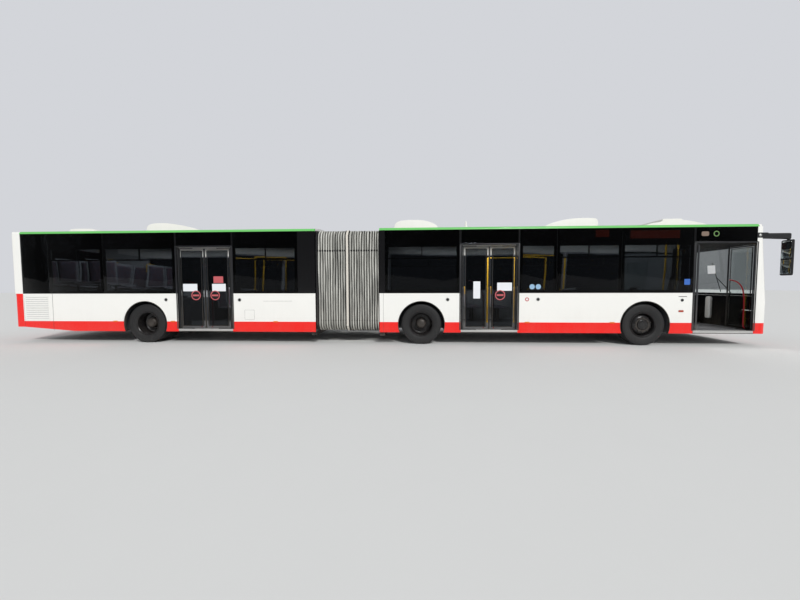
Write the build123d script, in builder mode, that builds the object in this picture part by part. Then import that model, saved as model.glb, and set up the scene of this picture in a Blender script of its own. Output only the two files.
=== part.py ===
import os
from math import cos, radians, sin

from build123d import *

os.makedirs("parts", exist_ok=True)

# Articulated low-floor city bus. X points forward, the kerb side with the
# doors is at -Y, Z is up and the road is at Z = 0. Stations along the bus are
# given as distances behind the front face.

# Overall size
LENGTH = 17980.0
WIDTH = 2500.0
MIRROR_REACH = 420.0
SKIRT_BOTTOM = 289.0
BELT = 1217.0
SIDE_TOP = 2692.0
ROOF_CROWN = 2850.0
ROOF_EDGE_RADIUS = 62.0

# Sections and bellows
FRONT_SECTION = 8795.0
BELLOWS_LENGTH = 1537.0
CENTRE_FRAME_DEPTH = 90.0
PORTAL_DEPTH = 95.0

# Axles and wheels
FRONT_OVERHANG = 2700.0
FRONT_WHEELBASE = 5105.0
REAR_WHEELBASE = 6770.0
TYRE_DIAMETER = 956.0
TYRE_WIDTH = 276.0
RIM_DIAMETER = 571.5
TWIN_SPACING = 310.0
WHEEL_INSET = 34.0
ARCH_RADIUS = 552.0
ARCH_SIDES = 36
TYRE_SIDES = 32
RIM_SIDES = 16
HUB_SIDES = 10
SHOULDER = 20.0
KINGPIN_OFFSET = 110.0
KINGPIN_RADIUS = 24.0
KINGPIN_CLEARANCE = 0.1

# Walls, roof, floor and glass
WALL = 50.0
ROOF_THICKNESS = 50.0
MASK_WALL = 45.0
GLASS = 6.0
FLOOR_TOP = 350.0
FLOOR_THICKNESS = 60.0
REAR_DECK_TOP = 1090.0
REAR_DECK_START = 15420.0
WINDOW_BOTTOM = 1252.0
WINDOW_TOP = 2330.0
PANE_GAP = 8.0
PILLAR = 56.0
WHEEL_BOX_WALL = 12.0
WHEEL_BOX_MARGIN = 22.0
STEERED_BOX_INNER = 590.0
TWIN_BOX_INNER = 496.0

# Nose and tail
NOSE_DEPTH = 244.0
TAIL_DEPTH = 259.0
BOW_STEPS = 3
CORNER_STEPS = 4
NOSE_CORNER = 110.0
NOSE_BULGE = 40.0
NOSE_WAIST_HEIGHT = 1000.0
NOSE_LEAN = 143.0
NOSE_TUCK = 10.0
HEADER_START = 300.0
TAIL_CORNER = 60.0
TAIL_BULGE = 12.0
TAIL_TUCK = 30.0
TAIL_LEDGE = 16.0
TAIL_SKIRT_BOTTOM = 390.0
UPSWEEP_START = 16400.0
SCREEN_HALF_WIDTH = 1165.0
SCREEN_BOTTOM = 1130.0
SCREEN_TOP = 2610.0
SCREEN_GLASS = 8.0
BACK_WINDOW_HALF_WIDTH = 960.0
BACK_WINDOW_BOTTOM = 1500.0
BACK_WINDOW_TOP = 2420.0
LID_HALF_WIDTH = 720.0
LID_BOTTOM = 600.0
LID_TOP = 1260.0
LID_THICKNESS = 28.0
LID_GAP = 8.0
LID_FOOT_GAP = 13.0

# Doors
DOOR_TOP = 2340.0
DOOR_PLANE_INSET = 35.0
LEAF_THICKNESS = 36.0
LEAF_FRAME = 52.0
LEAF_EDGE = 30.0
LEAF_GAP = 10.0
LEAF_BOTTOM_GAP = 22.0
LEAF_TOP_GAP = 40.0
POST_INSET = 30.0
POST_RADIUS = 20.0
ARM_WIDTH = 40.0
ARM_THICKNESS = 10.0
ARM_GAP = 6.0
POST_SIDES = 8
PIN_SIDES = 6
PIN_RADIUS = 9.0
PIN_CLEARANCE = 0.5
DOOR_OPEN_ANGLE = 84.0

# Bellows folds
BELLOWS_HALF_WIDTH = 1222.0
BELLOWS_BOTTOM = 306.0
BELLOWS_TOP = 2722.0
FOLD_DEPTH = 62.0
FOLD_CORNER = 130.0
FOLDS_PER_HALF = 7
BELLOWS_SKIN = 8.0
BELLOWS_GAP = 1.0
BOTTOM_OPENING = 770.0

X_FRONT = (LENGTH - MIRROR_REACH) / 2
HALF = WIDTH / 2
REAR_START = FRONT_SECTION + BELLOWS_LENGTH
PIVOT = FRONT_SECTION + BELLOWS_LENGTH / 2
AXLE_FRONT = FRONT_OVERHANG
AXLE_MIDDLE = AXLE_FRONT + FRONT_WHEELBASE
AXLE_REAR = AXLE_MIDDLE + REAR_WHEELBASE
HUB_HEIGHT = TYRE_DIAMETER / 2
TRACK_SINGLE = HALF - WHEEL_INSET - TYRE_WIDTH / 2
FLOOR_BOTTOM = FLOOR_TOP - FLOOR_THICKNESS
DOOR_PLANE = -(HALF - DOOR_PLANE_INSET)
BODY_REAR_START = LENGTH - TAIL_DEPTH

# Doorways: name, front edge, rear edge, share of the full opening at rest
DOORWAYS = [
    ("front", NOSE_DEPTH, 1648.0, 1.0),
    ("middle", 5567.0, 6886.0, 0.0),
    ("rear", 12366.0, 13739.0, 0.0),
]

# Window bays of each side wall: side (-1 kerb, 1 road), first and last station
FRONT_BAYS = [
    (-1, 1716.0, 3230.0),
    (-1, 3286.0, 4671.0),
    (-1, 4727.0, 5510.0),
    (-1, 6950.0, 8640.0),
    (1, 330.0, 1420.0),
    (1, 1530.0, 3230.0),
    (1, 3286.0, 4671.0),
    (1, 4727.0, 6540.0),
    (1, 6596.0, 8640.0),
]
REAR_BAYS = [
    (-1, 10780.0, 12306.0),
    (-1, 13805.0, 15578.0),
    (-1, 15634.0, 16992.0),
    (1, 10780.0, 12306.0),
    (1, 12362.0, 13749.0),
    (1, 13805.0, 15578.0),
    (1, 15634.0, 16992.0),
]
# Dark panels beside the engine tower: closed wall behind the pane
REAR_PANELS = [(-1, 17048.0, 17660.0), (1, 17048.0, 17660.0)]

# Roof units: first and last station, half width, height above the road
FRONT_PODS = [
    (950.0, 2390.0, 760.0, 2950.0),
    (1550.0, 2010.0, 420.0, 2985.0),
    (3530.0, 4780.0, 780.0, 3020.0),
    (7380.0, 8470.0, 780.0, 3025.0),
]
REAR_PODS = [
    (13460.0, 14880.0, 780.0, 3022.0),
    (16400.0, 17170.0, 620.0, 2930.0),
]
POD_TAPER = 12.0
POD_SEAT = 60.0

# Seats: station of the cushion's middle, middle across the bus, width across,
# height of the floor under it, 1 when the passenger looks forward
SEAT_CUSHION = 80.0
SEAT_HEIGHT = 430.0
SEAT_DEPTH = 420.0
SEAT_BACK = 60.0
SEAT_BACK_TOP = 1010.0
SEAT_FOOT = 120.0
FRONT_SEATS = [
    (4010.0, 930.0, 480.0, FLOOR_TOP, 1),
    (4760.0, 760.0, 860.0, FLOOR_TOP, 1),
    (5510.0, 760.0, 860.0, FLOOR_TOP, 1),
    (6260.0, 760.0, 860.0, FLOOR_TOP, 1),
    (3980.0, -760.0, 860.0, FLOOR_TOP, 1),
    (4730.0, -760.0, 860.0, FLOOR_TOP, 1),
]
REAR_SEATS = [
    (11090.0, 760.0, 860.0, FLOOR_TOP, -1),
    (11960.0, 760.0, 860.0, FLOOR_TOP, 1),
    (12830.0, 760.0, 860.0, FLOOR_TOP, 1),
    (13560.0, 760.0, 860.0, FLOOR_TOP, 1),
    (11090.0, -760.0, 860.0, FLOOR_TOP, -1),
    (11960.0, -760.0, 860.0, FLOOR_TOP, 1),
    (15900.0, 760.0, 860.0, REAR_DECK_TOP, 1),
    (16660.0, 760.0, 860.0, REAR_DECK_TOP, 1),
    (15900.0, -760.0, 860.0, REAR_DECK_TOP, 1),
    (16660.0, -760.0, 860.0, REAR_DECK_TOP, 1),
    (17400.0, 0.0, 2300.0, REAR_DECK_TOP, 1),
]
POLE_RADIUS = 17.0
ROUND_SIDES = 6
RAIL_HEIGHT = 2150.0
FRONT_POLES = [(3650.0, 430.0), (4400.0, 290.0), (5150.0, 290.0), (5900.0, 290.0),
               (4400.0, -290.0), (5150.0, -290.0)]
REAR_POLES = [(11520.0, 290.0), (12400.0, 290.0), (13200.0, 290.0), (11520.0, -290.0),
              (12300.0, -290.0)]


def at(station):
    """X of a distance behind the front face."""
    return X_FRONT - station


def side_plane(side, depth=0.0):
    """Plane along a side wall, depth mm inside its outer face."""
    return Plane.XZ.offset(-side * (HALF - depth))


def write(piece, name):
    piece.part.label = name
    export_step(piece.part, f"parts/{name}.step")


def bay_rectangle(first, last, bottom, top):
    """Rectangle in a side plane between two stations and two heights."""
    with Locations((at((first + last) / 2), (bottom + top) / 2)):
        Rectangle(last - first, top - bottom)


def bay_hole(first, last, bottom, top):
    with Locations((at((first + last) / 2), (bottom + top) / 2)):
        Rectangle(last - first, top - bottom, mode=Mode.SUBTRACT)


def block(x0, x1, y0, y1, z0, z1, mode=Mode.ADD):
    """Axis-aligned block between two corners."""
    with Locations(((x0 + x1) / 2, (y0 + y1) / 2, (z0 + z1) / 2)):
        Box(abs(x1 - x0), abs(y1 - y0), abs(z1 - z0), mode=mode)


def side_wall(side, first, last, bays, doorways, axles):
    """Side wall: skirt and lower panel at full thickness, window frame set
    back behind the bonded panes, doorways and wheel arches cut through."""
    with BuildPart() as wall:
        with BuildSketch(side_plane(side)):
            bay_rectangle(first, last, SKIRT_BOTTOM, BELT)
            for start, end in doorways:
                bay_hole(start, end, FLOOR_TOP, BELT)
            for axle in axles:
                with Locations((at(axle), HUB_HEIGHT)):
                    RegularPolygon(ARCH_RADIUS, ARCH_SIDES, major_radius=False,
                                   mode=Mode.SUBTRACT)
            if last == BODY_REAR_START:
                with BuildLine():
                    Polyline((at(UPSWEEP_START), SKIRT_BOTTOM), (at(last), SKIRT_BOTTOM),
                             (at(last), TAIL_SKIRT_BOTTOM), close=True)
                make_face(mode=Mode.SUBTRACT)
        extrude(amount=side * WALL)
        with BuildSketch(side_plane(side, GLASS)):
            bay_rectangle(first, last, BELT, SIDE_TOP)
            if first == NOSE_DEPTH:
                bay_hole(first, HEADER_START, DOOR_TOP, SIDE_TOP)
            for start, end in doorways:
                bay_hole(start, end, BELT, DOOR_TOP)
            for bay_side, start, end in bays:
                if bay_side == side:
                    bay_hole(start, end, WINDOW_BOTTOM, WINDOW_TOP)
        extrude(amount=side * (WALL - GLASS))
    return wall


def roof_solid(first, last, inset):
    """Roof volume between two stations, its outline moved in by inset."""
    side = HALF - inset
    corner = ROOF_EDGE_RADIUS - inset
    shoulder = SIDE_TOP + corner
    with BuildPart() as roof:
        with BuildSketch(Plane.YZ.offset(at(last))):
            with BuildLine():
                right = RadiusArc((-side, SIDE_TOP), (-side + corner, shoulder), corner)
                crown = ThreePointArc(right @ 1, (0, ROOF_CROWN - inset),
                                      (side - corner, shoulder))
                left = RadiusArc(crown @ 1, (side, SIDE_TOP), corner)
                Line(left @ 1, right @ 0)
            make_face()
        extrude(amount=last - first)
    return roof


def plan_outline(face_x, back_x, bulge, corner_radius, inset):
    """Plan outline of a nose or tail: a shallow bowed face, two rounded
    corners and a straight back. Inset moves the outer skin in."""
    direction = 1 if face_x > back_x else -1
    half = HALF - inset
    radius = corner_radius - inset
    shoulder = half - radius
    tip = face_x - direction * inset
    brow = tip - direction * bulge
    quarter = []
    for i in range(BOW_STEPS):
        across = shoulder * i / BOW_STEPS
        quarter.append((tip - direction * bulge * (across / shoulder) ** 2, across))
    for i in range(CORNER_STEPS + 1):
        turn = radians(90.0 * i / CORNER_STEPS)
        quarter.append((brow - direction * radius * (1 - cos(turn)), shoulder + radius * sin(turn)))
    points = [(back_x, -half)]
    points += [(x, -y) for x, y in reversed(quarter)]
    points += quarter[1:]
    points.append((back_x, half))
    with BuildLine() as outline:
        Polyline(*points, close=True)
    return outline.edges()


def end_shell(levels, back, bulge, corner_radius, inset):
    """Loft of plan outlines: levels are (height, station of the face)."""
    with BuildPart() as shell:
        for height, station in levels:
            with BuildSketch(Plane.XY.offset(height)):
                make_face(plan_outline(at(station), at(back), bulge, corner_radius, inset))
        loft(ruled=True)
    return shell


NOSE_LEVELS = [(SKIRT_BOTTOM, NOSE_TUCK), (NOSE_WAIST_HEIGHT, 0.0), (SIDE_TOP, NOSE_LEAN)]
# The tail below the belt stands back under a short sloping ledge
TAIL_LEVELS = [(TAIL_SKIRT_BOTTOM, LENGTH - TAIL_TUCK), (BELT - TAIL_LEDGE, LENGTH - TAIL_TUCK),
               (BELT, LENGTH), (SIDE_TOP, LENGTH)]
# Rounded roof ends: height above the roof edge and distance back from the face
ROOF_END_STEPS = [(0.0, 0.0), (62.0, 24.0), (118.0, 95.0), (168.0, 230.0)]


def nose(inset):
    return end_shell(NOSE_LEVELS, HEADER_START, NOSE_BULGE, NOSE_CORNER, inset)


def tail(inset):
    return end_shell(TAIL_LEVELS, BODY_REAR_START, TAIL_BULGE, TAIL_CORNER, inset)


nose_outer = nose(0.0)
tail_outer = tail(0.0)
LAMP_DEPTH = 30.0
LAMP_GAP = 3.0
# Lamps: half-width range and height range
HEADLAMPS = (730.0, 1120.0, 600.0, 800.0)
TAIL_LAMPS = (880.0, 1100.0, 760.0, 1180.0)
TOW_RADIUS = 21.0
TOW_DEPTH = 60.0
TOW_FRONT_HEIGHT = 250.0
TOW_REAR_HEIGHT = 345.0
TOW_OFFSET = 520.0
TOW_BEAM_START = 100.0
TOW_BEAM_END = 200.0
TOW_BEAM_SIDE = 80.0

# Front section: walls
front_doors = [(a, b) for name, a, b, share in DOORWAYS if name != "rear"]
rear_doors = [(a, b) for name, a, b, share in DOORWAYS if name == "rear"]
ENTRY_START, ENTRY_END = front_doors[0]
front_right_wall = side_wall(-1, ENTRY_END, FRONT_SECTION, FRONT_BAYS, front_doors[1:],
                             [AXLE_FRONT, AXLE_MIDDLE])
write(front_right_wall, "front_right_wall")
with BuildPart() as front_door_header:
    block(at(ENTRY_END), at(HEADER_START), -(HALF - WALL), -(HALF - GLASS), DOOR_TOP, SIDE_TOP)
write(front_door_header, "front_door_header")
front_left_wall = side_wall(1, NOSE_DEPTH, FRONT_SECTION, FRONT_BAYS, [],
                            [AXLE_FRONT, AXLE_MIDDLE])
write(front_left_wall, "front_left_wall")

# Rear section: walls
rear_right_wall = side_wall(-1, REAR_START, BODY_REAR_START, REAR_BAYS, rear_doors, [AXLE_REAR])
write(rear_right_wall, "rear_right_wall")
rear_left_wall = side_wall(1, REAR_START, BODY_REAR_START, REAR_BAYS, [], [AXLE_REAR])
write(rear_left_wall, "rear_left_wall")

# Roofs: shells rounded down to the nose and to the tail
def front_roof_volume(inset):
    levels = [(SIDE_TOP + up, NOSE_LEAN + back) for up, back in ROOF_END_STEPS]
    with BuildPart() as volume:
        add(roof_solid(NOSE_LEAN, FRONT_SECTION, inset).part)
        add(end_shell(levels, FRONT_SECTION, NOSE_BULGE, NOSE_CORNER, inset).part,
            mode=Mode.INTERSECT)
    return volume


def rear_roof_volume(inset):
    levels = [(SIDE_TOP + up, LENGTH - back) for up, back in ROOF_END_STEPS]
    with BuildPart() as volume:
        add(roof_solid(REAR_START, LENGTH, inset).part)
        add(end_shell(levels, REAR_START, TAIL_BULGE, TAIL_CORNER, inset).part,
            mode=Mode.INTERSECT)
    return volume


with BuildPart() as front_roof:
    add(front_roof_volume(0.0).part)
    add(front_roof_volume(ROOF_THICKNESS).part, mode=Mode.SUBTRACT)
write(front_roof, "front_roof")

with BuildPart() as rear_roof:
    add(rear_roof_volume(0.0).part)
    add(rear_roof_volume(ROOF_THICKNESS).part, mode=Mode.SUBTRACT)
write(rear_roof, "rear_roof")


def side_glass(first, last, bays, doorways):
    """Bonded panes of both sides: one pane a bay up to the roof edge, with
    dark header plates over the doorways."""
    with BuildPart() as glass:
        for side in (-1, 1):
            edges = sorted((a, b) for s, a, b in bays if s == side)
            with BuildSketch(side_plane(side)):
                for a, b in edges:
                    bay_rectangle(a - (PILLAR - PANE_GAP) / 2, b + (PILLAR - PANE_GAP) / 2,
                                  BELT + PANE_GAP / 2, SIDE_TOP - PANE_GAP / 2)
                if side < 0:
                    for a, b in doorways:
                        bay_rectangle(max(a, HEADER_START) + PANE_GAP, b - PANE_GAP, DOOR_TOP + PANE_GAP / 2,
                                      SIDE_TOP - PANE_GAP / 2)
            extrude(amount=side * GLASS)
    return glass


write(side_glass(NOSE_DEPTH, FRONT_SECTION, FRONT_BAYS, front_doors), "front_side_glass")

# Floors and wheel boxes
def wheel_box(axle, side, inner, top, mode=Mode.ADD):
    """Closed wheel box over a wheel, open below and towards the arch."""
    reach = ARCH_RADIUS + WHEEL_BOX_MARGIN
    wall_inner = HALF - WALL
    block(at(axle) - reach - WHEEL_BOX_WALL, at(axle) + reach + WHEEL_BOX_WALL,
          side * (inner - WHEEL_BOX_WALL), side * wall_inner, FLOOR_BOTTOM,
          top + WHEEL_BOX_WALL, mode)


def wheel_space(axle, side, inner, top):
    reach = ARCH_RADIUS + WHEEL_BOX_MARGIN
    block(at(axle) - reach, at(axle) + reach, side * inner, side * HALF, FLOOR_BOTTOM - 10,
          top, mode=Mode.SUBTRACT)


WHEEL_SPACE_TOP = HUB_HEIGHT + ARCH_RADIUS + 2.0
FRONT_WHEEL_BOXES = [(axle, side, inner) for axle, inner in
                     ((AXLE_FRONT, STEERED_BOX_INNER), (AXLE_MIDDLE, TWIN_BOX_INNER))
                     for side in (-1, 1)]
with BuildPart() as front_floor:
    block(at(FRONT_SECTION), at(NOSE_DEPTH), -(HALF - WALL), HALF - WALL, FLOOR_BOTTOM, FLOOR_TOP)
    block(at(ENTRY_END), at(ENTRY_START), -HALF, -(HALF - WALL), FLOOR_BOTTOM, FLOOR_TOP)
    for axle, side, inner in FRONT_WHEEL_BOXES:
        wheel_box(axle, side, inner, WHEEL_SPACE_TOP, Mode.SUBTRACT)
write(front_floor, "front_floor")

with BuildPart() as front_wheel_boxes:
    for axle, side, inner in FRONT_WHEEL_BOXES:
        wheel_box(axle, side, inner, WHEEL_SPACE_TOP)
        wheel_space(axle, side, inner, WHEEL_SPACE_TOP)
write(front_wheel_boxes, "front_wheel_boxes")

with BuildPart() as rear_floor:
    block(at(REAR_DECK_START), at(REAR_START), -(HALF - WALL), HALF - WALL, FLOOR_BOTTOM, FLOOR_TOP)
    for side in (-1, 1):
        wheel_box(AXLE_REAR, side, TWIN_BOX_INNER, WHEEL_SPACE_TOP)
    block(at(REAR_DECK_START), at(REAR_DECK_START) + FLOOR_THICKNESS, -(HALF - WALL), HALF - WALL,
          FLOOR_TOP, REAR_DECK_TOP)
    block(at(BODY_REAR_START), at(REAR_DECK_START) + FLOOR_THICKNESS, -(HALF - WALL), HALF - WALL,
          REAR_DECK_TOP - FLOOR_THICKNESS, REAR_DECK_TOP)
    for side in (-1, 1):
        wheel_space(AXLE_REAR, side, TWIN_BOX_INNER, WHEEL_SPACE_TOP)
write(rear_floor, "rear_floor")

# Nose with windscreen opening and lamp openings
with BuildPart() as front_mask:
    add(nose_outer.part)
    add(nose(MASK_WALL).part, mode=Mode.SUBTRACT)
    block(at(NOSE_DEPTH), at(HEADER_START), -WIDTH, WIDTH, 0, DOOR_TOP, mode=Mode.SUBTRACT)
    block(at(NOSE_DEPTH), at(-200), -SCREEN_HALF_WIDTH, SCREEN_HALF_WIDTH, SCREEN_BOTTOM,
          SCREEN_TOP, mode=Mode.SUBTRACT)
    for side in (-1, 1):
        block(at(NOSE_DEPTH), at(-200), side * HEADLAMPS[0], side * HEADLAMPS[1], HEADLAMPS[2],
              HEADLAMPS[3], mode=Mode.SUBTRACT)
write(front_mask, "front_mask")

with BuildPart() as windscreen:
    add(nose_outer.part)
    add(nose(SCREEN_GLASS).part, mode=Mode.SUBTRACT)
    block(at(NOSE_DEPTH + 200), at(-200), -(SCREEN_HALF_WIDTH - PANE_GAP / 2),
          SCREEN_HALF_WIDTH - PANE_GAP / 2, SCREEN_BOTTOM + PANE_GAP / 2,
          SCREEN_TOP - PANE_GAP / 2, mode=Mode.INTERSECT)
    block(at(HEADER_START), at(NOSE_DEPTH - 24), -WIDTH, WIDTH, 0, 3000, mode=Mode.SUBTRACT)
write(windscreen, "windscreen")

with BuildPart() as front_lamps:
    for side in (-1, 1):
        block(at(NOSE_DEPTH), at(-200), side * (HEADLAMPS[0] + LAMP_GAP),
              side * (HEADLAMPS[1] - LAMP_GAP), HEADLAMPS[2] + LAMP_GAP, HEADLAMPS[3] - LAMP_GAP)
    add(nose_outer.part, mode=Mode.INTERSECT)
    add(nose(LAMP_DEPTH).part, mode=Mode.SUBTRACT)
write(front_lamps, "front_lamps")

# Tail with back window, lamp openings and the engine opening
with BuildPart() as rear_mask:
    add(tail_outer.part)
    add(tail(MASK_WALL).part, mode=Mode.SUBTRACT)
    block(at(BODY_REAR_START), at(LENGTH + 200), -BACK_WINDOW_HALF_WIDTH, BACK_WINDOW_HALF_WIDTH,
          BACK_WINDOW_BOTTOM, BACK_WINDOW_TOP, mode=Mode.SUBTRACT)
    block(at(BODY_REAR_START), at(LENGTH + 200), -LID_HALF_WIDTH, LID_HALF_WIDTH, LID_BOTTOM,
          LID_TOP, mode=Mode.SUBTRACT)
    for side in (-1, 1):
        block(at(BODY_REAR_START), at(LENGTH + 200), side * TAIL_LAMPS[0], side * TAIL_LAMPS[1],
              TAIL_LAMPS[2], TAIL_LAMPS[3], mode=Mode.SUBTRACT)
write(rear_mask, "rear_mask")

with BuildPart() as rear_lamps:
    for side in (-1, 1):
        block(at(BODY_REAR_START), at(LENGTH + 200), side * (TAIL_LAMPS[0] + LAMP_GAP),
              side * (TAIL_LAMPS[1] - LAMP_GAP), TAIL_LAMPS[2] + LAMP_GAP,
              TAIL_LAMPS[3] - LAMP_GAP)
    add(tail_outer.part, mode=Mode.INTERSECT)
    add(tail(LAMP_DEPTH).part, mode=Mode.SUBTRACT)
write(rear_lamps, "rear_lamps")

with BuildPart() as engine_lid:
    add(tail_outer.part)
    add(tail(LID_THICKNESS).part, mode=Mode.SUBTRACT)
    block(at(BODY_REAR_START + 60), at(LENGTH + 200), -(LID_HALF_WIDTH - LID_GAP),
          LID_HALF_WIDTH - LID_GAP, LID_BOTTOM + LID_FOOT_GAP, LID_TOP - LID_GAP,
          mode=Mode.INTERSECT)
write(engine_lid, "engine_lid")

# Rear section glass: side panes and back window
rear_side_panes = side_glass(REAR_START, BODY_REAR_START, REAR_BAYS + REAR_PANELS, rear_doors)
with BuildPart() as back_window:
    add(tail_outer.part)
    add(tail(SCREEN_GLASS).part, mode=Mode.SUBTRACT)
    block(at(BODY_REAR_START + 60), at(LENGTH + 200), -(BACK_WINDOW_HALF_WIDTH - PANE_GAP / 2),
          BACK_WINDOW_HALF_WIDTH - PANE_GAP / 2, BACK_WINDOW_BOTTOM + PANE_GAP / 2,
          BACK_WINDOW_TOP - PANE_GAP / 2, mode=Mode.INTERSECT)
with BuildPart() as rear_glass:
    add(rear_side_panes.part)
    add(back_window.part)
write(rear_glass, "rear_glass")


# Roof units seated on the crowned roof
def roof_units(pods, first, last):
    with BuildPart() as units:
        for start, end, half, height in pods:
            with BuildSketch(Plane.XY.offset(SIDE_TOP + POD_SEAT)):
                with Locations((at((start + end) / 2), 0)):
                    Rectangle(end - start, 2 * half)
            extrude(amount=height - SIDE_TOP - POD_SEAT, taper=POD_TAPER)
        add(roof_solid(first, last, 0.0).part, mode=Mode.SUBTRACT)
    return units


write(roof_units(FRONT_PODS, NOSE_LEAN, FRONT_SECTION), "front_roof_units")
write(roof_units(REAR_PODS, REAR_START, LENGTH), "rear_roof_units")

# Mirrors on arms ahead of the front corners
MIRROR_ARM_Z = 2490.0
MIRROR_ARM_HALF_WIDTH = 35.0
MIRROR_ARM_HALF_HEIGHT = 60.0
MIRROR_ARM_END = 260.0
MIRROR_DROP = 90.0
MIRROR_HEAD = (70.0, 240.0, 800.0)
MIRROR_Y = 1190.0
with BuildPart() as mirrors:
    for side in (-1, 1):
        block(at(-MIRROR_REACH), at(-MIRROR_REACH + MIRROR_HEAD[0]),
              side * (MIRROR_Y - MIRROR_HEAD[1] / 2), side * (MIRROR_Y + MIRROR_HEAD[1] / 2),
              MIRROR_ARM_Z - MIRROR_DROP - MIRROR_HEAD[2], MIRROR_ARM_Z - MIRROR_DROP)
        arm_inner = side * (MIRROR_Y - MIRROR_ARM_HALF_WIDTH)
        arm_outer = side * (MIRROR_Y + MIRROR_ARM_HALF_WIDTH)
        block(at(-MIRROR_REACH), at(-MIRROR_REACH + MIRROR_HEAD[0]), arm_inner, arm_outer,
              MIRROR_ARM_Z - MIRROR_DROP, MIRROR_ARM_Z + MIRROR_ARM_HALF_HEIGHT)
        block(at(-MIRROR_REACH + MIRROR_HEAD[0]), at(MIRROR_ARM_END), arm_inner, arm_outer,
              MIRROR_ARM_Z - MIRROR_ARM_HALF_HEIGHT, MIRROR_ARM_Z + MIRROR_ARM_HALF_HEIGHT)
    add(nose_outer.part, mode=Mode.SUBTRACT)
write(mirrors, "mirrors")


# Seats: one cushion, back and foot for each bench in the table
def seats(table):
    with BuildPart() as benches:
        for station, across, width, floor, facing in table:
            x = at(station)
            back = x - facing * SEAT_DEPTH / 2
            block(x - SEAT_DEPTH / 2, x + SEAT_DEPTH / 2, across - width / 2, across + width / 2,
                  floor + SEAT_HEIGHT - SEAT_CUSHION, floor + SEAT_HEIGHT)
            block(back, back - facing * SEAT_BACK, across - width / 2, across + width / 2,
                  floor + SEAT_HEIGHT - SEAT_CUSHION, floor + SEAT_BACK_TOP)
            block(x - SEAT_FOOT, x + SEAT_FOOT, across - SEAT_FOOT / 2, across + SEAT_FOOT / 2,
                  floor, floor + SEAT_HEIGHT - SEAT_CUSHION)
    return benches


write(seats(FRONT_SEATS), "front_seats")
write(seats(REAR_SEATS), "rear_seats")


# Stanchions standing on the floor, joined by a rail on each side
def rails(poles):
    with BuildPart() as group:
        for station, across in poles:
            with BuildSketch(Plane.XY.offset(FLOOR_TOP)):
                with Locations((at(station), across)):
                    RegularPolygon(POLE_RADIUS, ROUND_SIDES, rotation=180 / ROUND_SIDES)
            extrude(amount=RAIL_HEIGHT - FLOOR_TOP)
        for across in sorted({y for s, y in poles}):
            row = [s for s, y in poles if y == across]
            if len(row) > 1:
                block(at(max(row)), at(min(row)), across - POLE_RADIUS, across + POLE_RADIUS,
                      RAIL_HEIGHT, RAIL_HEIGHT + 2 * POLE_RADIUS)
    return group


write(rails(FRONT_POLES), "front_rails")
write(rails(REAR_POLES), "rear_rails")

# Driver's place: dash, seat, partition and steering wheel
DASH_START, DASH_END, DASH_TOP = 300.0, 620.0, 1020.0
CAB_INNER, CAB_OUTER = 150.0, 1190.0
PARTITION, PARTITION_START, PARTITION_TOP = 30.0, 1660.0, 2050.0
CAB_DOOR_START, CAB_DOOR_TOP = 700.0, 1400.0
DRIVER_Y, DRIVER_HALF = 650.0, 230.0
DRIVER_START, DRIVER_END = 1060.0, 1500.0
DRIVER_CUSHION, DRIVER_CUSHION_TOP, DRIVER_BACK, DRIVER_BACK_TOP = 150.0, 830.0, 80.0, 1500.0
DRIVER_FOOT_HALF = (140.0, 110.0)
STEERING_WHEEL_RADIUS = 225.0
STEERING_WHEEL_GRIP = 24.0
STEERING_WHEEL_PLACE = (830.0, 1130.0)
STEERING_WHEEL_SIDES = 16
with BuildPart() as driver_cab:
    block(at(DASH_END), at(DASH_START), CAB_INNER, CAB_OUTER, FLOOR_TOP, DASH_TOP)
    block(at(DRIVER_END), at(DRIVER_START), DRIVER_Y - DRIVER_HALF, DRIVER_Y + DRIVER_HALF,
          DRIVER_CUSHION_TOP - DRIVER_CUSHION, DRIVER_CUSHION_TOP)
    block(at(DRIVER_END + DRIVER_BACK), at(DRIVER_END), DRIVER_Y - DRIVER_HALF,
          DRIVER_Y + DRIVER_HALF, DRIVER_CUSHION_TOP - DRIVER_CUSHION, DRIVER_BACK_TOP)
    seat_middle = (DRIVER_START + DRIVER_END) / 2
    block(at(seat_middle + DRIVER_FOOT_HALF[0]), at(seat_middle - DRIVER_FOOT_HALF[0]),
          DRIVER_Y - DRIVER_FOOT_HALF[1], DRIVER_Y + DRIVER_FOOT_HALF[1], FLOOR_TOP,
          DRIVER_CUSHION_TOP - DRIVER_CUSHION)
    block(at(PARTITION_START + PARTITION), at(PARTITION_START), CAB_INNER, CAB_OUTER, FLOOR_TOP,
          PARTITION_TOP)
    block(at(PARTITION_START), at(CAB_DOOR_START), CAB_INNER, CAB_INNER + PARTITION, FLOOR_TOP,
          CAB_DOOR_TOP)
    with BuildSketch(Plane(origin=(at(STEERING_WHEEL_PLACE[0]), DRIVER_Y,
                                   STEERING_WHEEL_PLACE[1]), z_dir=(-0.42, 0, 0.9))):
        RegularPolygon(STEERING_WHEEL_RADIUS, STEERING_WHEEL_SIDES)
        RegularPolygon(STEERING_WHEEL_RADIUS - STEERING_WHEEL_GRIP, STEERING_WHEEL_SIDES,
                       mode=Mode.SUBTRACT)
        Rectangle(2 * STEERING_WHEEL_RADIUS - STEERING_WHEEL_GRIP, 2 * STEERING_WHEEL_GRIP)
    extrude(amount=STEERING_WHEEL_GRIP)
write(driver_cab, "driver_cab")


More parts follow.
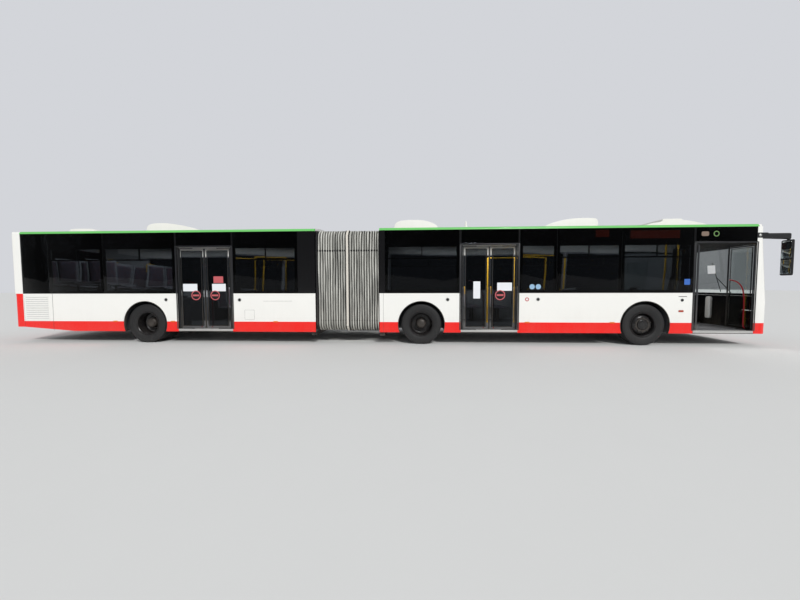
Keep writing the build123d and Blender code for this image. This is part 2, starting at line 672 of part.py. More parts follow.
# Underframes: side rails, cross members and the portal round the passage
RAIL_TOP = FLOOR_BOTTOM
RAIL_DEPTH = 90.0
RAIL_WIDTH = 70.0
RAIL_OFFSET = 420.0
AXLE_BAY = 640.0
CROSS_MEMBER = 80.0
END_MEMBER = 120.0
REAR_RAIL_TOP = TAIL_SKIRT_BOTTOM
REAR_BEAM_END = LENGTH - 180.0
TURNTABLE_RADIUS = 380.0
DISC_SIDES = 20
NECK_RADIUS = 160.0
YOKE_RADIUS = 230.0
YOKE_THICKNESS = 18.0
YOKE_GAP = 10.0
TURNTABLE_PLATE = 40.0
TURNTABLE_GAP = 6.0
PLATFORM_RADIUS = 735.0
PLATFORM_THICKNESS = 22.0
PLATFORM_TONGUE = 900.0


def portal(first, last):
    """Frame round the passage at the end of a section."""
    with BuildSketch(Plane.YZ.offset(at(last))) as ring:
        with Locations((0, (FLOOR_TOP + SIDE_TOP) / 2)):
            Rectangle(2 * (HALF - WALL), SIDE_TOP - FLOOR_TOP)
            Rectangle(2 * (HALF - WALL - PORTAL_DEPTH), SIDE_TOP - FLOOR_TOP - PORTAL_DEPTH * 2,
                      mode=Mode.SUBTRACT)
        with Locations((0, FLOOR_TOP + PORTAL_DEPTH / 2)):
            Rectangle(2 * (HALF - WALL - PORTAL_DEPTH), PORTAL_DEPTH, mode=Mode.SUBTRACT)
    extrude(ring.sketch, amount=last - first)


LOWER_PLATE_TOP = FLOOR_BOTTOM - TURNTABLE_PLATE - TURNTABLE_GAP
with BuildPart() as front_frame:
    for side in (-1, 1):
        for start, end in ((TOW_BEAM_START, AXLE_FRONT - AXLE_BAY),
                           (AXLE_FRONT + AXLE_BAY, AXLE_MIDDLE - AXLE_BAY),
                           (AXLE_MIDDLE + AXLE_BAY, FRONT_SECTION)):
            block(at(end), at(start), side * (RAIL_OFFSET - RAIL_WIDTH / 2),
                  side * (RAIL_OFFSET + RAIL_WIDTH / 2), RAIL_TOP - RAIL_DEPTH, RAIL_TOP)
    for axle in (AXLE_FRONT, AXLE_MIDDLE):
        for edge in (axle - AXLE_BAY - CROSS_MEMBER, axle + AXLE_BAY):
            block(at(edge + CROSS_MEMBER), at(edge), -RAIL_OFFSET, RAIL_OFFSET,
                  RAIL_TOP - RAIL_DEPTH, RAIL_TOP)
    block(at(FRONT_SECTION), at(FRONT_SECTION - END_MEMBER), -(HALF - WALL), HALF - WALL,
          RAIL_TOP - RAIL_DEPTH, RAIL_TOP)
    with BuildSketch(Plane.XY.offset(LOWER_PLATE_TOP - TURNTABLE_PLATE)):
        with Locations((at(PIVOT), 0)):
            RegularPolygon(TURNTABLE_RADIUS, DISC_SIDES)
        with Locations((at((FRONT_SECTION - END_MEMBER + PIVOT) / 2), 0)):
            Rectangle(PIVOT - FRONT_SECTION + END_MEMBER, 2 * TURNTABLE_RADIUS)
    extrude(amount=TURNTABLE_PLATE)
    portal(FRONT_SECTION - PORTAL_DEPTH, FRONT_SECTION)
    block(at(TOW_BEAM_END), at(TOW_BEAM_START), -TOW_OFFSET - TOW_BEAM_SIDE,
          TOW_OFFSET + TOW_BEAM_SIDE, RAIL_TOP - RAIL_DEPTH, RAIL_TOP)
    with BuildSketch(Plane.YZ.offset(at(TOW_BEAM_START))):
        with Locations((-TOW_OFFSET, TOW_FRONT_HEIGHT)):
            Circle(TOW_RADIUS)
    extrude(amount=-TOW_DEPTH, mode=Mode.SUBTRACT)
write(front_frame, "front_frame")

with BuildPart() as rear_frame:
    for side in (-1, 1):
        block(at(AXLE_REAR - AXLE_BAY), at(REAR_START), side * (RAIL_OFFSET - RAIL_WIDTH / 2),
              side * (RAIL_OFFSET + RAIL_WIDTH / 2), RAIL_TOP - RAIL_DEPTH, RAIL_TOP)
        block(at(REAR_BEAM_END), at(REAR_DECK_START), side * (RAIL_OFFSET - RAIL_WIDTH / 2),
              side * (RAIL_OFFSET + RAIL_WIDTH / 2), REAR_RAIL_TOP - RAIL_DEPTH, REAR_RAIL_TOP)
    block(at(AXLE_REAR - AXLE_BAY), at(AXLE_REAR - AXLE_BAY - CROSS_MEMBER), -RAIL_OFFSET, RAIL_OFFSET,
          RAIL_TOP - RAIL_DEPTH, RAIL_TOP)
    block(at(REAR_DECK_START + CROSS_MEMBER), at(REAR_DECK_START), -(HALF - WALL), HALF - WALL,
          REAR_RAIL_TOP - RAIL_DEPTH, REAR_RAIL_TOP)
    block(at(REAR_BEAM_END), at(REAR_BEAM_END - 100), -TOW_OFFSET - TOW_BEAM_SIDE,
          TOW_OFFSET + TOW_BEAM_SIDE, REAR_RAIL_TOP - RAIL_DEPTH, REAR_RAIL_TOP)
    with BuildSketch(Plane.YZ.offset(at(REAR_BEAM_END))):
        with Locations((-TOW_OFFSET, TOW_REAR_HEIGHT)):
            Circle(TOW_RADIUS)
    extrude(amount=TOW_DEPTH, mode=Mode.SUBTRACT)
    block(at(REAR_START + END_MEMBER), at(REAR_START), -(HALF - WALL), HALF - WALL,
          RAIL_TOP - RAIL_DEPTH, RAIL_TOP)
    with BuildSketch(Plane.XY.offset(FLOOR_BOTTOM - TURNTABLE_PLATE)):
        with Locations((at(PIVOT), 0)):
            RegularPolygon(TURNTABLE_RADIUS, DISC_SIDES)
        with Locations((at((REAR_START + PIVOT) / 2), 0)):
            Rectangle(REAR_START - PIVOT, 2 * TURNTABLE_RADIUS)
    extrude(amount=TURNTABLE_PLATE)
    with BuildSketch(Plane.XY.offset(FLOOR_BOTTOM)):
        with Locations((at(PIVOT), 0)):
            RegularPolygon(NECK_RADIUS, HUB_SIDES)
    extrude(amount=FLOOR_THICKNESS - PLATFORM_THICKNESS)
    with BuildSketch(Plane.XY.offset(FLOOR_TOP - PLATFORM_THICKNESS)):
        with Locations((at(PIVOT), 0)):
            RegularPolygon(PLATFORM_RADIUS, DISC_SIDES)
        with Locations((at((REAR_START + PIVOT) / 2), 0)):
            Rectangle(REAR_START - PIVOT, PLATFORM_TONGUE)
    extrude(amount=PLATFORM_THICKNESS)
    portal(REAR_START, REAR_START + PORTAL_DEPTH)
write(rear_frame, "rear_frame")

SEAT_RADIUS = RIM_DIAMETER / 2
FLANGE_INSET = 24.0
DISC_THICKNESS = 24.0
HUB_OUTER_RADIUS = 118.0
AXLE_CLEARANCE = 8.0

# Portal axle beams: high at the hubs, low under the floor
BEAM_WIDTH = 110.0
BEAM_HIGH = 120.0
BEAM_LEG = 70.0
BEAM_LOW_TOP = FLOOR_BOTTOM - 14.0
BEAM_LOW_BOTTOM = 165.0
KINGPIN_Y = TRACK_SINGLE - KINGPIN_OFFSET
TWIN_CENTRE = HALF - WHEEL_INSET - TYRE_WIDTH / 2 - TWIN_SPACING / 2
TWIN_INNER_FACE = TWIN_CENTRE - TWIN_SPACING / 2 - TYRE_WIDTH / 2
TWIN_BEAM_END = TWIN_CENTRE - DISC_THICKNESS / 2 - AXLE_CLEARANCE


def portal_beam(axle, end, knee, width):
    """Beam of a portal axle: ends at hub height, middle under the floor."""
    top = HUB_HEIGHT + BEAM_HIGH / 2
    low = HUB_HEIGHT - BEAM_HIGH / 2
    with BuildSketch(Plane.YZ.offset(at(axle) - width / 2)) as beam:
        with BuildLine():
            Polyline((-end, top), (-knee + BEAM_LEG, top), (-knee + BEAM_LEG, BEAM_LOW_TOP),
                     (knee - BEAM_LEG, BEAM_LOW_TOP), (knee - BEAM_LEG, top), (end, top),
                     (end, low), (knee, low), (knee, BEAM_LOW_BOTTOM), (-knee, BEAM_LOW_BOTTOM),
                     (-knee, low), (-end, low), close=True)
        make_face()
    extrude(beam.sketch, amount=width)


with BuildPart() as front_axles:
    portal_beam(AXLE_FRONT, KINGPIN_Y - KINGPIN_RADIUS - 8, KINGPIN_Y - 130, BEAM_WIDTH)
    for side in (-1, 1):
        with BuildSketch(Plane.XY.offset(HUB_HEIGHT - BEAM_HIGH / 2)):
            with Locations((at(AXLE_FRONT), side * KINGPIN_Y)):
                RegularPolygon(KINGPIN_RADIUS + 24, HUB_SIDES)
        extrude(amount=BEAM_HIGH)
        with BuildSketch(Plane.XY.offset(HUB_HEIGHT - BEAM_HIGH / 2 - 1)):
            with Locations((at(AXLE_FRONT), side * KINGPIN_Y)):
                RegularPolygon(KINGPIN_RADIUS + KINGPIN_CLEARANCE, HUB_SIDES, major_radius=False)
        extrude(amount=BEAM_HIGH + 2, mode=Mode.SUBTRACT)
    portal_beam(AXLE_MIDDLE, TWIN_BEAM_END, TWIN_INNER_FACE - 40, BEAM_WIDTH)
write(front_axles, "front_axles")

DRIVE_BEAM_WIDTH = 150.0
with BuildPart() as drive_axle:
    portal_beam(AXLE_REAR, TWIN_BEAM_END, TWIN_INNER_FACE - 40, DRIVE_BEAM_WIDTH)
write(drive_axle, "drive_axle")

# Engine block under the raised rear deck
ENGINE_START, ENGINE_END = 15760.0, 17280.0
ENGINE_RIGHT, ENGINE_LEFT = -480.0, 900.0
ENGINE_GAP = 6.0
ENGINE_HEADROOM = 40.0
with BuildPart() as engine:
    block(at(ENGINE_END), at(ENGINE_START), ENGINE_RIGHT, ENGINE_LEFT, REAR_RAIL_TOP + ENGINE_GAP,
          REAR_DECK_TOP - FLOOR_THICKNESS - ENGINE_HEADROOM)
write(engine, "engine")

# Steering knuckles: kingpin, stub axle and steering arm
RIM_BARREL_RADIUS = 268.0
for side, name in ((1, "knuckle_left"), (-1, "knuckle_right")):
    with BuildPart() as knuckle:
        with BuildSketch(Plane.XY.offset(HUB_HEIGHT - BEAM_HIGH / 2 - 40)):
            with Locations((at(AXLE_FRONT), side * KINGPIN_Y)):
                RegularPolygon(KINGPIN_RADIUS, HUB_SIDES)
        extrude(amount=BEAM_HIGH + 80)
        for base in (HUB_HEIGHT - BEAM_HIGH / 2 - 46, HUB_HEIGHT + BEAM_HIGH / 2 + 6):
            block(at(AXLE_FRONT) - 50, at(AXLE_FRONT) + 50, side * (KINGPIN_Y - 40),
                  side * (KINGPIN_Y + 86), base, base + 40)
        block(at(AXLE_FRONT) - 50, at(AXLE_FRONT) + 50, side * (KINGPIN_Y + 56),
              side * (KINGPIN_Y + 86), HUB_HEIGHT - BEAM_HIGH / 2 - 46,
              HUB_HEIGHT + BEAM_HIGH / 2 + 46)
    write(knuckle, name)


# Wheels. A ring of flats stands for each round band, with a flat on the road.
def wheel_plane(axle, side, out):
    """Plane across a wheel, out mm from the bus centre line, facing outboard."""
    return Plane(origin=(at(axle), side * out, HUB_HEIGHT), x_dir=(1, 0, 0), z_dir=(0, side, 0))


def wheel_band(axle, side, inner, outer, radius, sides, mode=Mode.ADD, taper=0.0):
    """Prism about the axle line between two distances from the centre line."""
    with BuildSketch(wheel_plane(axle, side, inner)) as face:
        RegularPolygon(radius, sides, major_radius=False, rotation=180 / sides)
    extrude(face.sketch, amount=outer - inner, taper=taper, mode=mode)


WHEELS = [
    ("front_wheel", AXLE_FRONT, [TRACK_SINGLE], 0),
    ("middle_wheel", AXLE_MIDDLE, [TWIN_CENTRE + TWIN_SPACING / 2, TWIN_CENTRE - TWIN_SPACING / 2],
     1),
    ("rear_wheel", AXLE_REAR, [TWIN_CENTRE + TWIN_SPACING / 2, TWIN_CENTRE - TWIN_SPACING / 2], 1),
]
for wheel_name, axle, middles, twin in WHEELS:
    for side, side_name in ((1, "left"), (-1, "right")):
        with BuildPart() as tyre:
            for middle in middles:
                near = middle - TYRE_WIDTH / 2
                far = middle + TYRE_WIDTH / 2
                wheel_band(axle, side, near + SHOULDER, far - SHOULDER, TYRE_DIAMETER / 2,
                           TYRE_SIDES)
                wheel_band(axle, side, far - SHOULDER, far, TYRE_DIAMETER / 2, TYRE_SIDES,
                           taper=45)
                wheel_band(axle, -side, -(near + SHOULDER), -near, TYRE_DIAMETER / 2, TYRE_SIDES,
                           taper=45)
                wheel_band(axle, side, near, far, SEAT_RADIUS, RIM_SIDES, mode=Mode.SUBTRACT)
        write(tyre, f"{wheel_name}_tyre_{side_name}")
        near = middles[-1] - TYRE_WIDTH / 2 + FLANGE_INSET
        far = middles[0] + TYRE_WIDTH / 2 - FLANGE_INSET
        with BuildPart() as rim:
            wheel_band(axle, side, near, far, SEAT_RADIUS, RIM_SIDES)
            wheel_band(axle, side, near, far, RIM_BARREL_RADIUS, RIM_SIDES, mode=Mode.SUBTRACT)
            if twin:
                disc = TWIN_CENTRE - DISC_THICKNESS / 2
                wheel_band(axle, side, disc, disc + DISC_THICKNESS, RIM_BARREL_RADIUS, RIM_SIDES)
                wheel_band(axle, side, disc + DISC_THICKNESS, middles[0] + 30, HUB_OUTER_RADIUS,
                           HUB_SIDES, taper=4)
            else:
                disc = middles[0] + 52
                wheel_band(axle, side, disc, disc + DISC_THICKNESS, RIM_BARREL_RADIUS, RIM_SIDES)
                wheel_band(axle, side, disc + DISC_THICKNESS, far + 10, HUB_OUTER_RADIUS,
                           HUB_SIDES, taper=12)
                wheel_band(axle, side, KINGPIN_Y + 86 + AXLE_CLEARANCE, disc, HUB_OUTER_RADIUS,
                           HUB_SIDES)
        write(rim, f"{wheel_name}_rim_{side_name}")


# Bellows: each half is a folded tube between a section and the centre frame
def fold_outline(inset):
    half = BELLOWS_HALF_WIDTH - inset
    bottom = BELLOWS_BOTTOM + inset
    top = BELLOWS_TOP - inset
    corner = FOLD_CORNER
    with BuildLine() as outline:
        Polyline((-half + corner, bottom), (half - corner, bottom), (half, bottom + corner),
                 (half, top - corner), (half - corner, top), (-half + corner, top),
                 (-half, top - corner), (-half, bottom + corner), close=True)
    return outline.edges()


def bellows_half(first, last):
    """Folded tube: sections step out to a crest and back to a valley."""
    steps = 2 * FOLDS_PER_HALF
    with BuildPart() as tube:
        for inset, mode in ((0.0, Mode.ADD), (BELLOWS_SKIN, Mode.SUBTRACT)):
            for i in range(steps + 1):
                depth = inset + (0.0 if i % 2 else FOLD_DEPTH)
                with BuildSketch(Plane.YZ.offset(at(first + (last - first) * i / steps))):
                    make_face(fold_outline(depth))
            loft(ruled=True, mode=mode)
        block(at(first), at(last), -BOTTOM_OPENING, BOTTOM_OPENING, BELLOWS_BOTTOM - 10,
              BELLOWS_BOTTOM + 2 * FOLD_DEPTH, mode=Mode.SUBTRACT)
    return tube


FRONT_BELLOWS_END = PIVOT - CENTRE_FRAME_DEPTH / 2
write(bellows_half(FRONT_SECTION + BELLOWS_GAP, FRONT_BELLOWS_END - BELLOWS_GAP), "front_bellows")
write(bellows_half(PIVOT + CENTRE_FRAME_DEPTH / 2 + BELLOWS_GAP, REAR_START - BELLOWS_GAP),
      "rear_bellows")

with BuildPart() as centre_frame:
    with BuildSketch(Plane.YZ.offset(at(PIVOT) - CENTRE_FRAME_DEPTH / 2)):
        make_face(fold_outline(0.0))
        make_face(fold_outline(CENTRE_FRAME_DEPTH), mode=Mode.SUBTRACT)
    extrude(amount=CENTRE_FRAME_DEPTH)
    block(at(PIVOT) - CENTRE_FRAME_DEPTH, at(PIVOT) + CENTRE_FRAME_DEPTH, -BOTTOM_OPENING,
          BOTTOM_OPENING, BELLOWS_BOTTOM - 10, BELLOWS_BOTTOM + 2 * FOLD_DEPTH,
          mode=Mode.SUBTRACT)
    with BuildSketch(Plane.XY.offset(FLOOR_BOTTOM + YOKE_GAP)):
        with Locations((at(PIVOT), 0)):
            RegularPolygon(YOKE_RADIUS, HUB_SIDES)
            Rectangle(CENTRE_FRAME_DEPTH, 2 * (BOTTOM_OPENING + 60))
            RegularPolygon(NECK_RADIUS + YOKE_GAP, HUB_SIDES, major_radius=False,
                           mode=Mode.SUBTRACT)
    extrude(amount=YOKE_THICKNESS)
write(centre_frame, "centre_frame")

# Door leaves on cranked posts
for name, start, end, share in DOORWAYS:
    half_leaf = ((end - start) - 2 * POST_INSET - LEAF_GAP) / 4
    leaf_bottom = FLOOR_TOP + LEAF_BOTTOM_GAP
    leaf_top = DOOR_TOP - LEAF_TOP_GAP
    for leaf_name, station, closed, turn in (("a", start + POST_INSET, 180.0, -1),
                                             ("b", end - POST_INSET, 0.0, 1)):
        swing = turn * share * DOOR_OPEN_ANGLE
        arm_angle = closed + swing
        leaf_angle = closed - swing
        post_place = Location((at(station), DOOR_PLANE, 0), (0, 0, arm_angle))
        leaf_place = Location((at(station) + half_leaf * cos(radians(arm_angle)),
                               DOOR_PLANE + half_leaf * sin(radians(arm_angle)), 0),
                              (0, 0, leaf_angle))
        low_arm = FLOOR_TOP + ARM_GAP
        high_arm = leaf_top + ARM_GAP
        with BuildPart() as post:
            with BuildSketch(Plane.XY.offset(low_arm)):
                RegularPolygon(POST_RADIUS, POST_SIDES)
            extrude(amount=high_arm + ARM_THICKNESS + 14 - low_arm)
            for base in (low_arm, high_arm):
                with BuildSketch(Plane.XY.offset(base)):
                    with Locations((half_leaf / 2, 0)):
                        Rectangle(half_leaf + ARM_WIDTH, ARM_WIDTH)
                    with Locations((half_leaf, 0)):
                        RegularPolygon(PIN_RADIUS + PIN_CLEARANCE, PIN_SIDES,
                                       major_radius=False, mode=Mode.SUBTRACT)
                extrude(amount=ARM_THICKNESS)
        post.part.label = f"{name}_door_post_{leaf_name}"
        placed = post.part.moved(post_place)
        placed.label = f"{name}_door_post_{leaf_name}"
        export_step(placed, f"parts/{name}_door_post_{leaf_name}.step")
        with BuildPart() as leaf:
            left_edge = -half_leaf + LEAF_EDGE
            width = 2 * half_leaf - LEAF_EDGE
            height = leaf_top - leaf_bottom
            centre = (left_edge + width / 2, (leaf_bottom + leaf_top) / 2)
            with BuildSketch(Plane.XZ.offset(-LEAF_THICKNESS / 2)):
                with Locations(centre):
                    Rectangle(width, height)
                    Rectangle(width - 2 * LEAF_FRAME, height - 2 * LEAF_FRAME, mode=Mode.SUBTRACT)
            extrude(amount=LEAF_THICKNESS)
            with BuildSketch(Plane.XZ.offset(-GLASS / 2)):
                with Locations(centre):
                    Rectangle(width - 2 * LEAF_FRAME, height - 2 * LEAF_FRAME)
            extrude(amount=GLASS)
            for base, length in ((leaf_bottom - ARM_GAP - ARM_THICKNESS, ARM_GAP + ARM_THICKNESS),
                                 (leaf_top, ARM_GAP + ARM_THICKNESS)):
                with BuildSketch(Plane.XY.offset(base)):
                    RegularPolygon(PIN_RADIUS, PIN_SIDES)
                extrude(amount=length)
        placed = leaf.part.moved(leaf_place)
        placed.label = f"{name}_door_leaf_{leaf_name}"
        export_step(placed, f"parts/{name}_door_leaf_{leaf_name}.step")
print("pivot x", at(PIVOT), "axles", at(AXLE_FRONT), at(AXLE_MIDDLE), at(AXLE_REAR))
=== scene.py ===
import math

import bmesh
import bpy
from mathutils import Matrix, Vector, noise


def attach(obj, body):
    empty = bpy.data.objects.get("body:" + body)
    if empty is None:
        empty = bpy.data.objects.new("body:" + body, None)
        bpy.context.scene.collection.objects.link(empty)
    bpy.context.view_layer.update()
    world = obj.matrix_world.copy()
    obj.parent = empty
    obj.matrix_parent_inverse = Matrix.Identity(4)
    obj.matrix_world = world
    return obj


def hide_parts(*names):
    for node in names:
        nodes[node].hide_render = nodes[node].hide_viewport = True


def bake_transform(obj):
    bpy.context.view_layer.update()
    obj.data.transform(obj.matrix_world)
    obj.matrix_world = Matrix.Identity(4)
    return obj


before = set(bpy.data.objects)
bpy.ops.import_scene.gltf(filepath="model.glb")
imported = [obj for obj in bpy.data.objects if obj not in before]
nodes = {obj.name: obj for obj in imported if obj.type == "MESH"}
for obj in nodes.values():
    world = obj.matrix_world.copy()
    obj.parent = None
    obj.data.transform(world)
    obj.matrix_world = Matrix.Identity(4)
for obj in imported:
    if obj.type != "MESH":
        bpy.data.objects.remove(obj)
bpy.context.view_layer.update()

scene = bpy.context.scene

# stations run back from the nose, heights from the road, the kerb is at -Y
bus = {
    "noseX": 8.780, "half": 1.250, "redTop": 0.534, "belt": 1.217, "stripeTop": 2.758,
    "frontEnd": 8.795, "rearStart": 10.332, "pivot": 9.5635, "paneBack": 1.243,
    "innerFace": 1.2005, "lowFloor": 0.350, "podium": 1.090,
}
sections = ("front", "rear")
sides = (-1, 1)
alongX, alongY, alongZ = range(3)


def at(station):
    return bus["noseX"] - station


# mesh makers
def rounded(mesh, geom, offset, steps=2, points=False, clamp=False):
    bmesh.ops.bevel(mesh, geom=geom, offset=offset, segments=steps, profile=0.5,
                    affect="VERTICES" if points else "EDGES", material=-1, clamp_overlap=clamp)


def cut(mesh, point, normal):
    bmesh.ops.bisect_plane(mesh, geom=mesh.verts[:] + mesh.edges[:] + mesh.faces[:], dist=0.0001,
                           plane_co=point, plane_no=normal)


def grow(mesh, move, edges=None):
    # extrude the edges given, or else all faces, and move what is new
    if edges is None:
        grown = bmesh.ops.extrude_face_region(mesh, geom=mesh.faces[:])["geom"]
    else:
        grown = bmesh.ops.extrude_edge_only(mesh, edges=edges)["geom"]
    verts = [g for g in grown if isinstance(g, bmesh.types.BMVert)]
    bmesh.ops.translate(mesh, verts=verts, vec=move)
    return verts, [g for g in grown if isinstance(g, bmesh.types.BMEdge)]


def facingX(x, a, b, low, high):
    return [(x, a, low), (x, b, low), (x, b, high), (x, a, high)]


def facingY(a, b, y, low, high):
    return [(a, y, low), (b, y, low), (b, y, high), (a, y, high)]


def addBox(low, high, rounding=0.004, steps=2):
    mesh = bmesh.new()
    size = [abs(b - a) for a, b in zip(low, high)]
    middle = [(a + b) / 2 for a, b in zip(low, high)]
    bmesh.ops.create_cube(mesh, size=1.0,
                          matrix=Matrix.Translation(middle) @ Matrix.Diagonal((*size, 1)))
    rounded(mesh, mesh.edges[:], min(rounding, min(size) * 0.45), steps)
    return mesh


def addBar(first, last, y0, y1, low, high, rounding=0.004, steps=2):
    # box between two stations
    return addBox((at(last), y0, low), (at(first), y1, high), rounding, steps)


def addSheet(corners, corner, steps=5):
    mesh = bmesh.new()
    loop = [mesh.verts.new(c) for c in corners]
    mesh.faces.new(loop)
    if corner:
        rounded(mesh, loop, corner, steps, True)
    return mesh


def addPanel(corners, depth, corner=0.03, rim=0.0):
    # flat sheet through the corners, its corners rounded, thickened along depth
    mesh = addSheet(corners, corner)
    grow(mesh, depth)
    if rim:
        bmesh.ops.recalc_face_normals(mesh, faces=mesh.faces[:])
        long = Vector(depth).normalized()
        edges = [e for e in mesh.edges if len(e.link_faces) == 2
                 and abs((e.verts[0].co - e.verts[1].co).normalized().dot(long)) < 0.1]
        rounded(mesh, edges, rim)
    return mesh


def addFrame(corners, width, depth, corner=0.03):
    # a picture frame: sheet, inset, the middle taken out, then thickened
    mesh = addSheet(corners, corner)
    middle = mesh.faces[:]
    bmesh.ops.inset_region(mesh, faces=middle, thickness=width, use_even_offset=True,
                           use_boundary=True)
    bmesh.ops.delete(mesh, geom=middle, context="FACES")
    grow(mesh, depth)
    return mesh


def sidePanel(side, first, last, low, high, outer, thick, corner=0.03, rim=0.0):
    return addPanel(facingY(at(first), at(last), side * outer, low, high), (0, -side * thick, 0),
                    corner, rim)


def sideFrame(side, first, last, low, high, outer, width, thick, corner=0.03):
    return addFrame(facingY(at(first), at(last), side * outer, low, high), width,
                    (0, -side * thick, 0), corner)


def addSpun(profile, centre, axis, steps, closed, turn=2 * math.pi):
    mesh = bmesh.new()
    ring = [mesh.verts.new(p) for p in profile]
    edges = [mesh.edges.new(pair) for pair in zip(ring, ring[1:])]
    if closed:
        edges.append(mesh.edges.new((ring[-1], ring[0])))
    bmesh.ops.spin(mesh, geom=ring + edges, cent=centre, axis=axis, angle=turn, steps=steps,
                   use_merge=turn > 6.28, use_duplicate=False)
    return mesh


def turned(axis, centre, run, steps=32, closed=False, side=1):
    # lathe part from pairs: distance along the axis, radius
    out = alongX if axis == alongZ else alongZ
    profile = [list(centre) for pair in run]
    for point, (along, radius) in zip(profile, run):
        point[axis] += side * along
        point[out] += radius
    return addSpun(profile, centre, [float(i == axis) for i in range(3)], steps, closed)


def addTube(points, radius, closed=False):
    curve = bpy.data.curves.new("path", "CURVE")
    curve.dimensions = "3D"
    curve.bevel_depth = radius
    curve.bevel_resolution = 3
    curve.resolution_u = 6
    curve.use_fill_caps = True
    spline = curve.splines.new("NURBS")
    spline.points.add(len(points) - 1)
    for spot, point in zip(spline.points, points):
        spot.co = (*point, 1)
    spline.use_cyclic_u = closed
    spline.order_u = 3
    spline.use_endpoint_u = not closed
    holder = bpy.data.objects.new("path", curve)
    data = bpy.data.meshes.new_from_object(holder)
    mesh = bmesh.new()
    mesh.from_mesh(data)
    bpy.data.objects.remove(holder)
    bpy.data.curves.remove(curve)
    bpy.data.meshes.remove(data)
    return mesh


def addRod(a, b, radius, steps=16, rounding=0.0):
    a, b = Vector(a), Vector(b)
    run = b - a
    mesh = bmesh.new()
    turn = run.to_track_quat("Z", "Y").to_matrix().to_4x4()
    bmesh.ops.create_cone(mesh, cap_ends=True, segments=steps, radius1=radius, radius2=radius,
                          depth=run.length, matrix=Matrix.Translation((a + b) / 2) @ turn)
    if rounding:
        rounded(mesh, [e for e in mesh.edges if any(len(f.verts) > 4 for f in e.link_faces)],
                rounding)
    return mesh


def addPost(station, y, low, high, radius, steps=20, rounding=0.0):
    return addRod((at(station), y, low), (at(station), y, high), radius, steps, rounding)


def placed(mesh, matrix):
    bmesh.ops.transform(mesh, matrix=matrix, verts=mesh.verts[:])
    return mesh


def smoothed(mesh, factor):
    bmesh.ops.smooth_vert(mesh, verts=mesh.verts[:], factor=factor, use_axis_x=True,
                          use_axis_y=True, use_axis_z=True)


def gather(parts):
    whole = bmesh.new()
    for part in parts:
        bmesh.ops.remove_doubles(part, verts=part.verts[:], dist=0.00005)
        bmesh.ops.recalc_face_normals(part, faces=part.faces[:])
        data = bpy.data.meshes.new("part")
        part.to_mesh(data)
        part.free()
        whole.from_mesh(data)
        bpy.data.meshes.remove(data)
    return whole


def makePiece(name, body, finish, parts, sharp=35):
    whole = gather(parts)
    data = bpy.data.meshes.new(name)
    whole.to_mesh(data)
    whole.free()
    data.shade_smooth()
    data.set_sharp_from_angle(angle=math.radians(sharp))
    data.materials.append(finishes[finish])
    piece = bpy.data.objects.new(name, data)
    scene.collection.objects.link(piece)
    if body:
        body = f"{body}_section" if body in sections else body
        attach(piece, body)
    return piece


# shared shader effects
def newGroup(name, inputs, outputs):
    group = bpy.data.node_groups.new(name, "ShaderNodeTree")
    for label, value in inputs.items():
        socket = group.interface.new_socket(label, in_out="INPUT", socket_type="NodeSocketFloat")
        socket.default_value = value
    for label in outputs:
        group.interface.new_socket(label, in_out="OUTPUT", socket_type="NodeSocketFloat")
    given = group.nodes.new("NodeGroupInput").outputs
    return group, given, group.nodes.new("NodeGroupOutput").inputs


def feed(tree, socket, value):
    if isinstance(value, bpy.types.NodeSocket):
        tree.links.new(value, socket)
    else:
        socket.default_value = value


def mathNode(tree, operation, a, b=0.0, clamp=False):
    step = tree.nodes.new("ShaderNodeMath")
    step.operation = operation
    step.use_clamp = clamp
    feed(tree, step.inputs[0], a)
    feed(tree, step.inputs[1], b)
    return step.outputs[0]


def product(tree, a, b):
    return mathNode(tree, "MULTIPLY", a, b)


def away(tree, value, middle):
    return mathNode(tree, "ABSOLUTE", mathNode(tree, "SUBTRACT", value, middle))


def above(tree, value, edge):
    return mathNode(tree, "GREATER_THAN", value, edge)


def below(tree, value, edge):
    return mathNode(tree, "LESS_THAN", value, edge)


def rangeNode(tree, value, low, high, outLow, outHigh):
    step = tree.nodes.new("ShaderNodeMapRange")
    labels = ("Value", "From Min", "From Max", "To Min", "To Max")
    for label, item in zip(labels, (value, low, high, outLow, outHigh)):
        feed(tree, step.inputs[label], item)
    return step.outputs[0]


def mixColour(tree, factor, a, b):
    mix = tree.nodes.new("ShaderNodeMix")
    mix.data_type = "RGBA"
    for place, value in ((0, factor), (6, a), (7, b)):
        feed(tree, mix.inputs[place], value)
    return mix.outputs[2]


def objectPoint(tree, scale=(1, 1, 1)):
    spot = tree.nodes.new("ShaderNodeTexCoord")
    shift = tree.nodes.new("ShaderNodeMapping")
    shift.inputs["Scale"].default_value = scale
    tree.links.new(spot.outputs["Object"], shift.inputs["Vector"])
    return shift.outputs["Vector"]


def noiseNode(tree, stretch, scale, detail=3.0, rough=0.55):
    cloud = tree.nodes.new("ShaderNodeTexNoise")
    cloud.inputs["Detail"].default_value = detail
    cloud.inputs["Roughness"].default_value = rough
    feed(tree, cloud.inputs["Scale"], scale)
    feed(tree, cloud.inputs["Vector"], objectPoint(tree, stretch))
    return cloud.outputs["Fac"]


def splitPoint(tree):
    parts = tree.nodes.new("ShaderNodeSeparateXYZ")
    tree.links.new(objectPoint(tree), parts.inputs[0])
    return parts.outputs


evenly = (1, 1, 1)
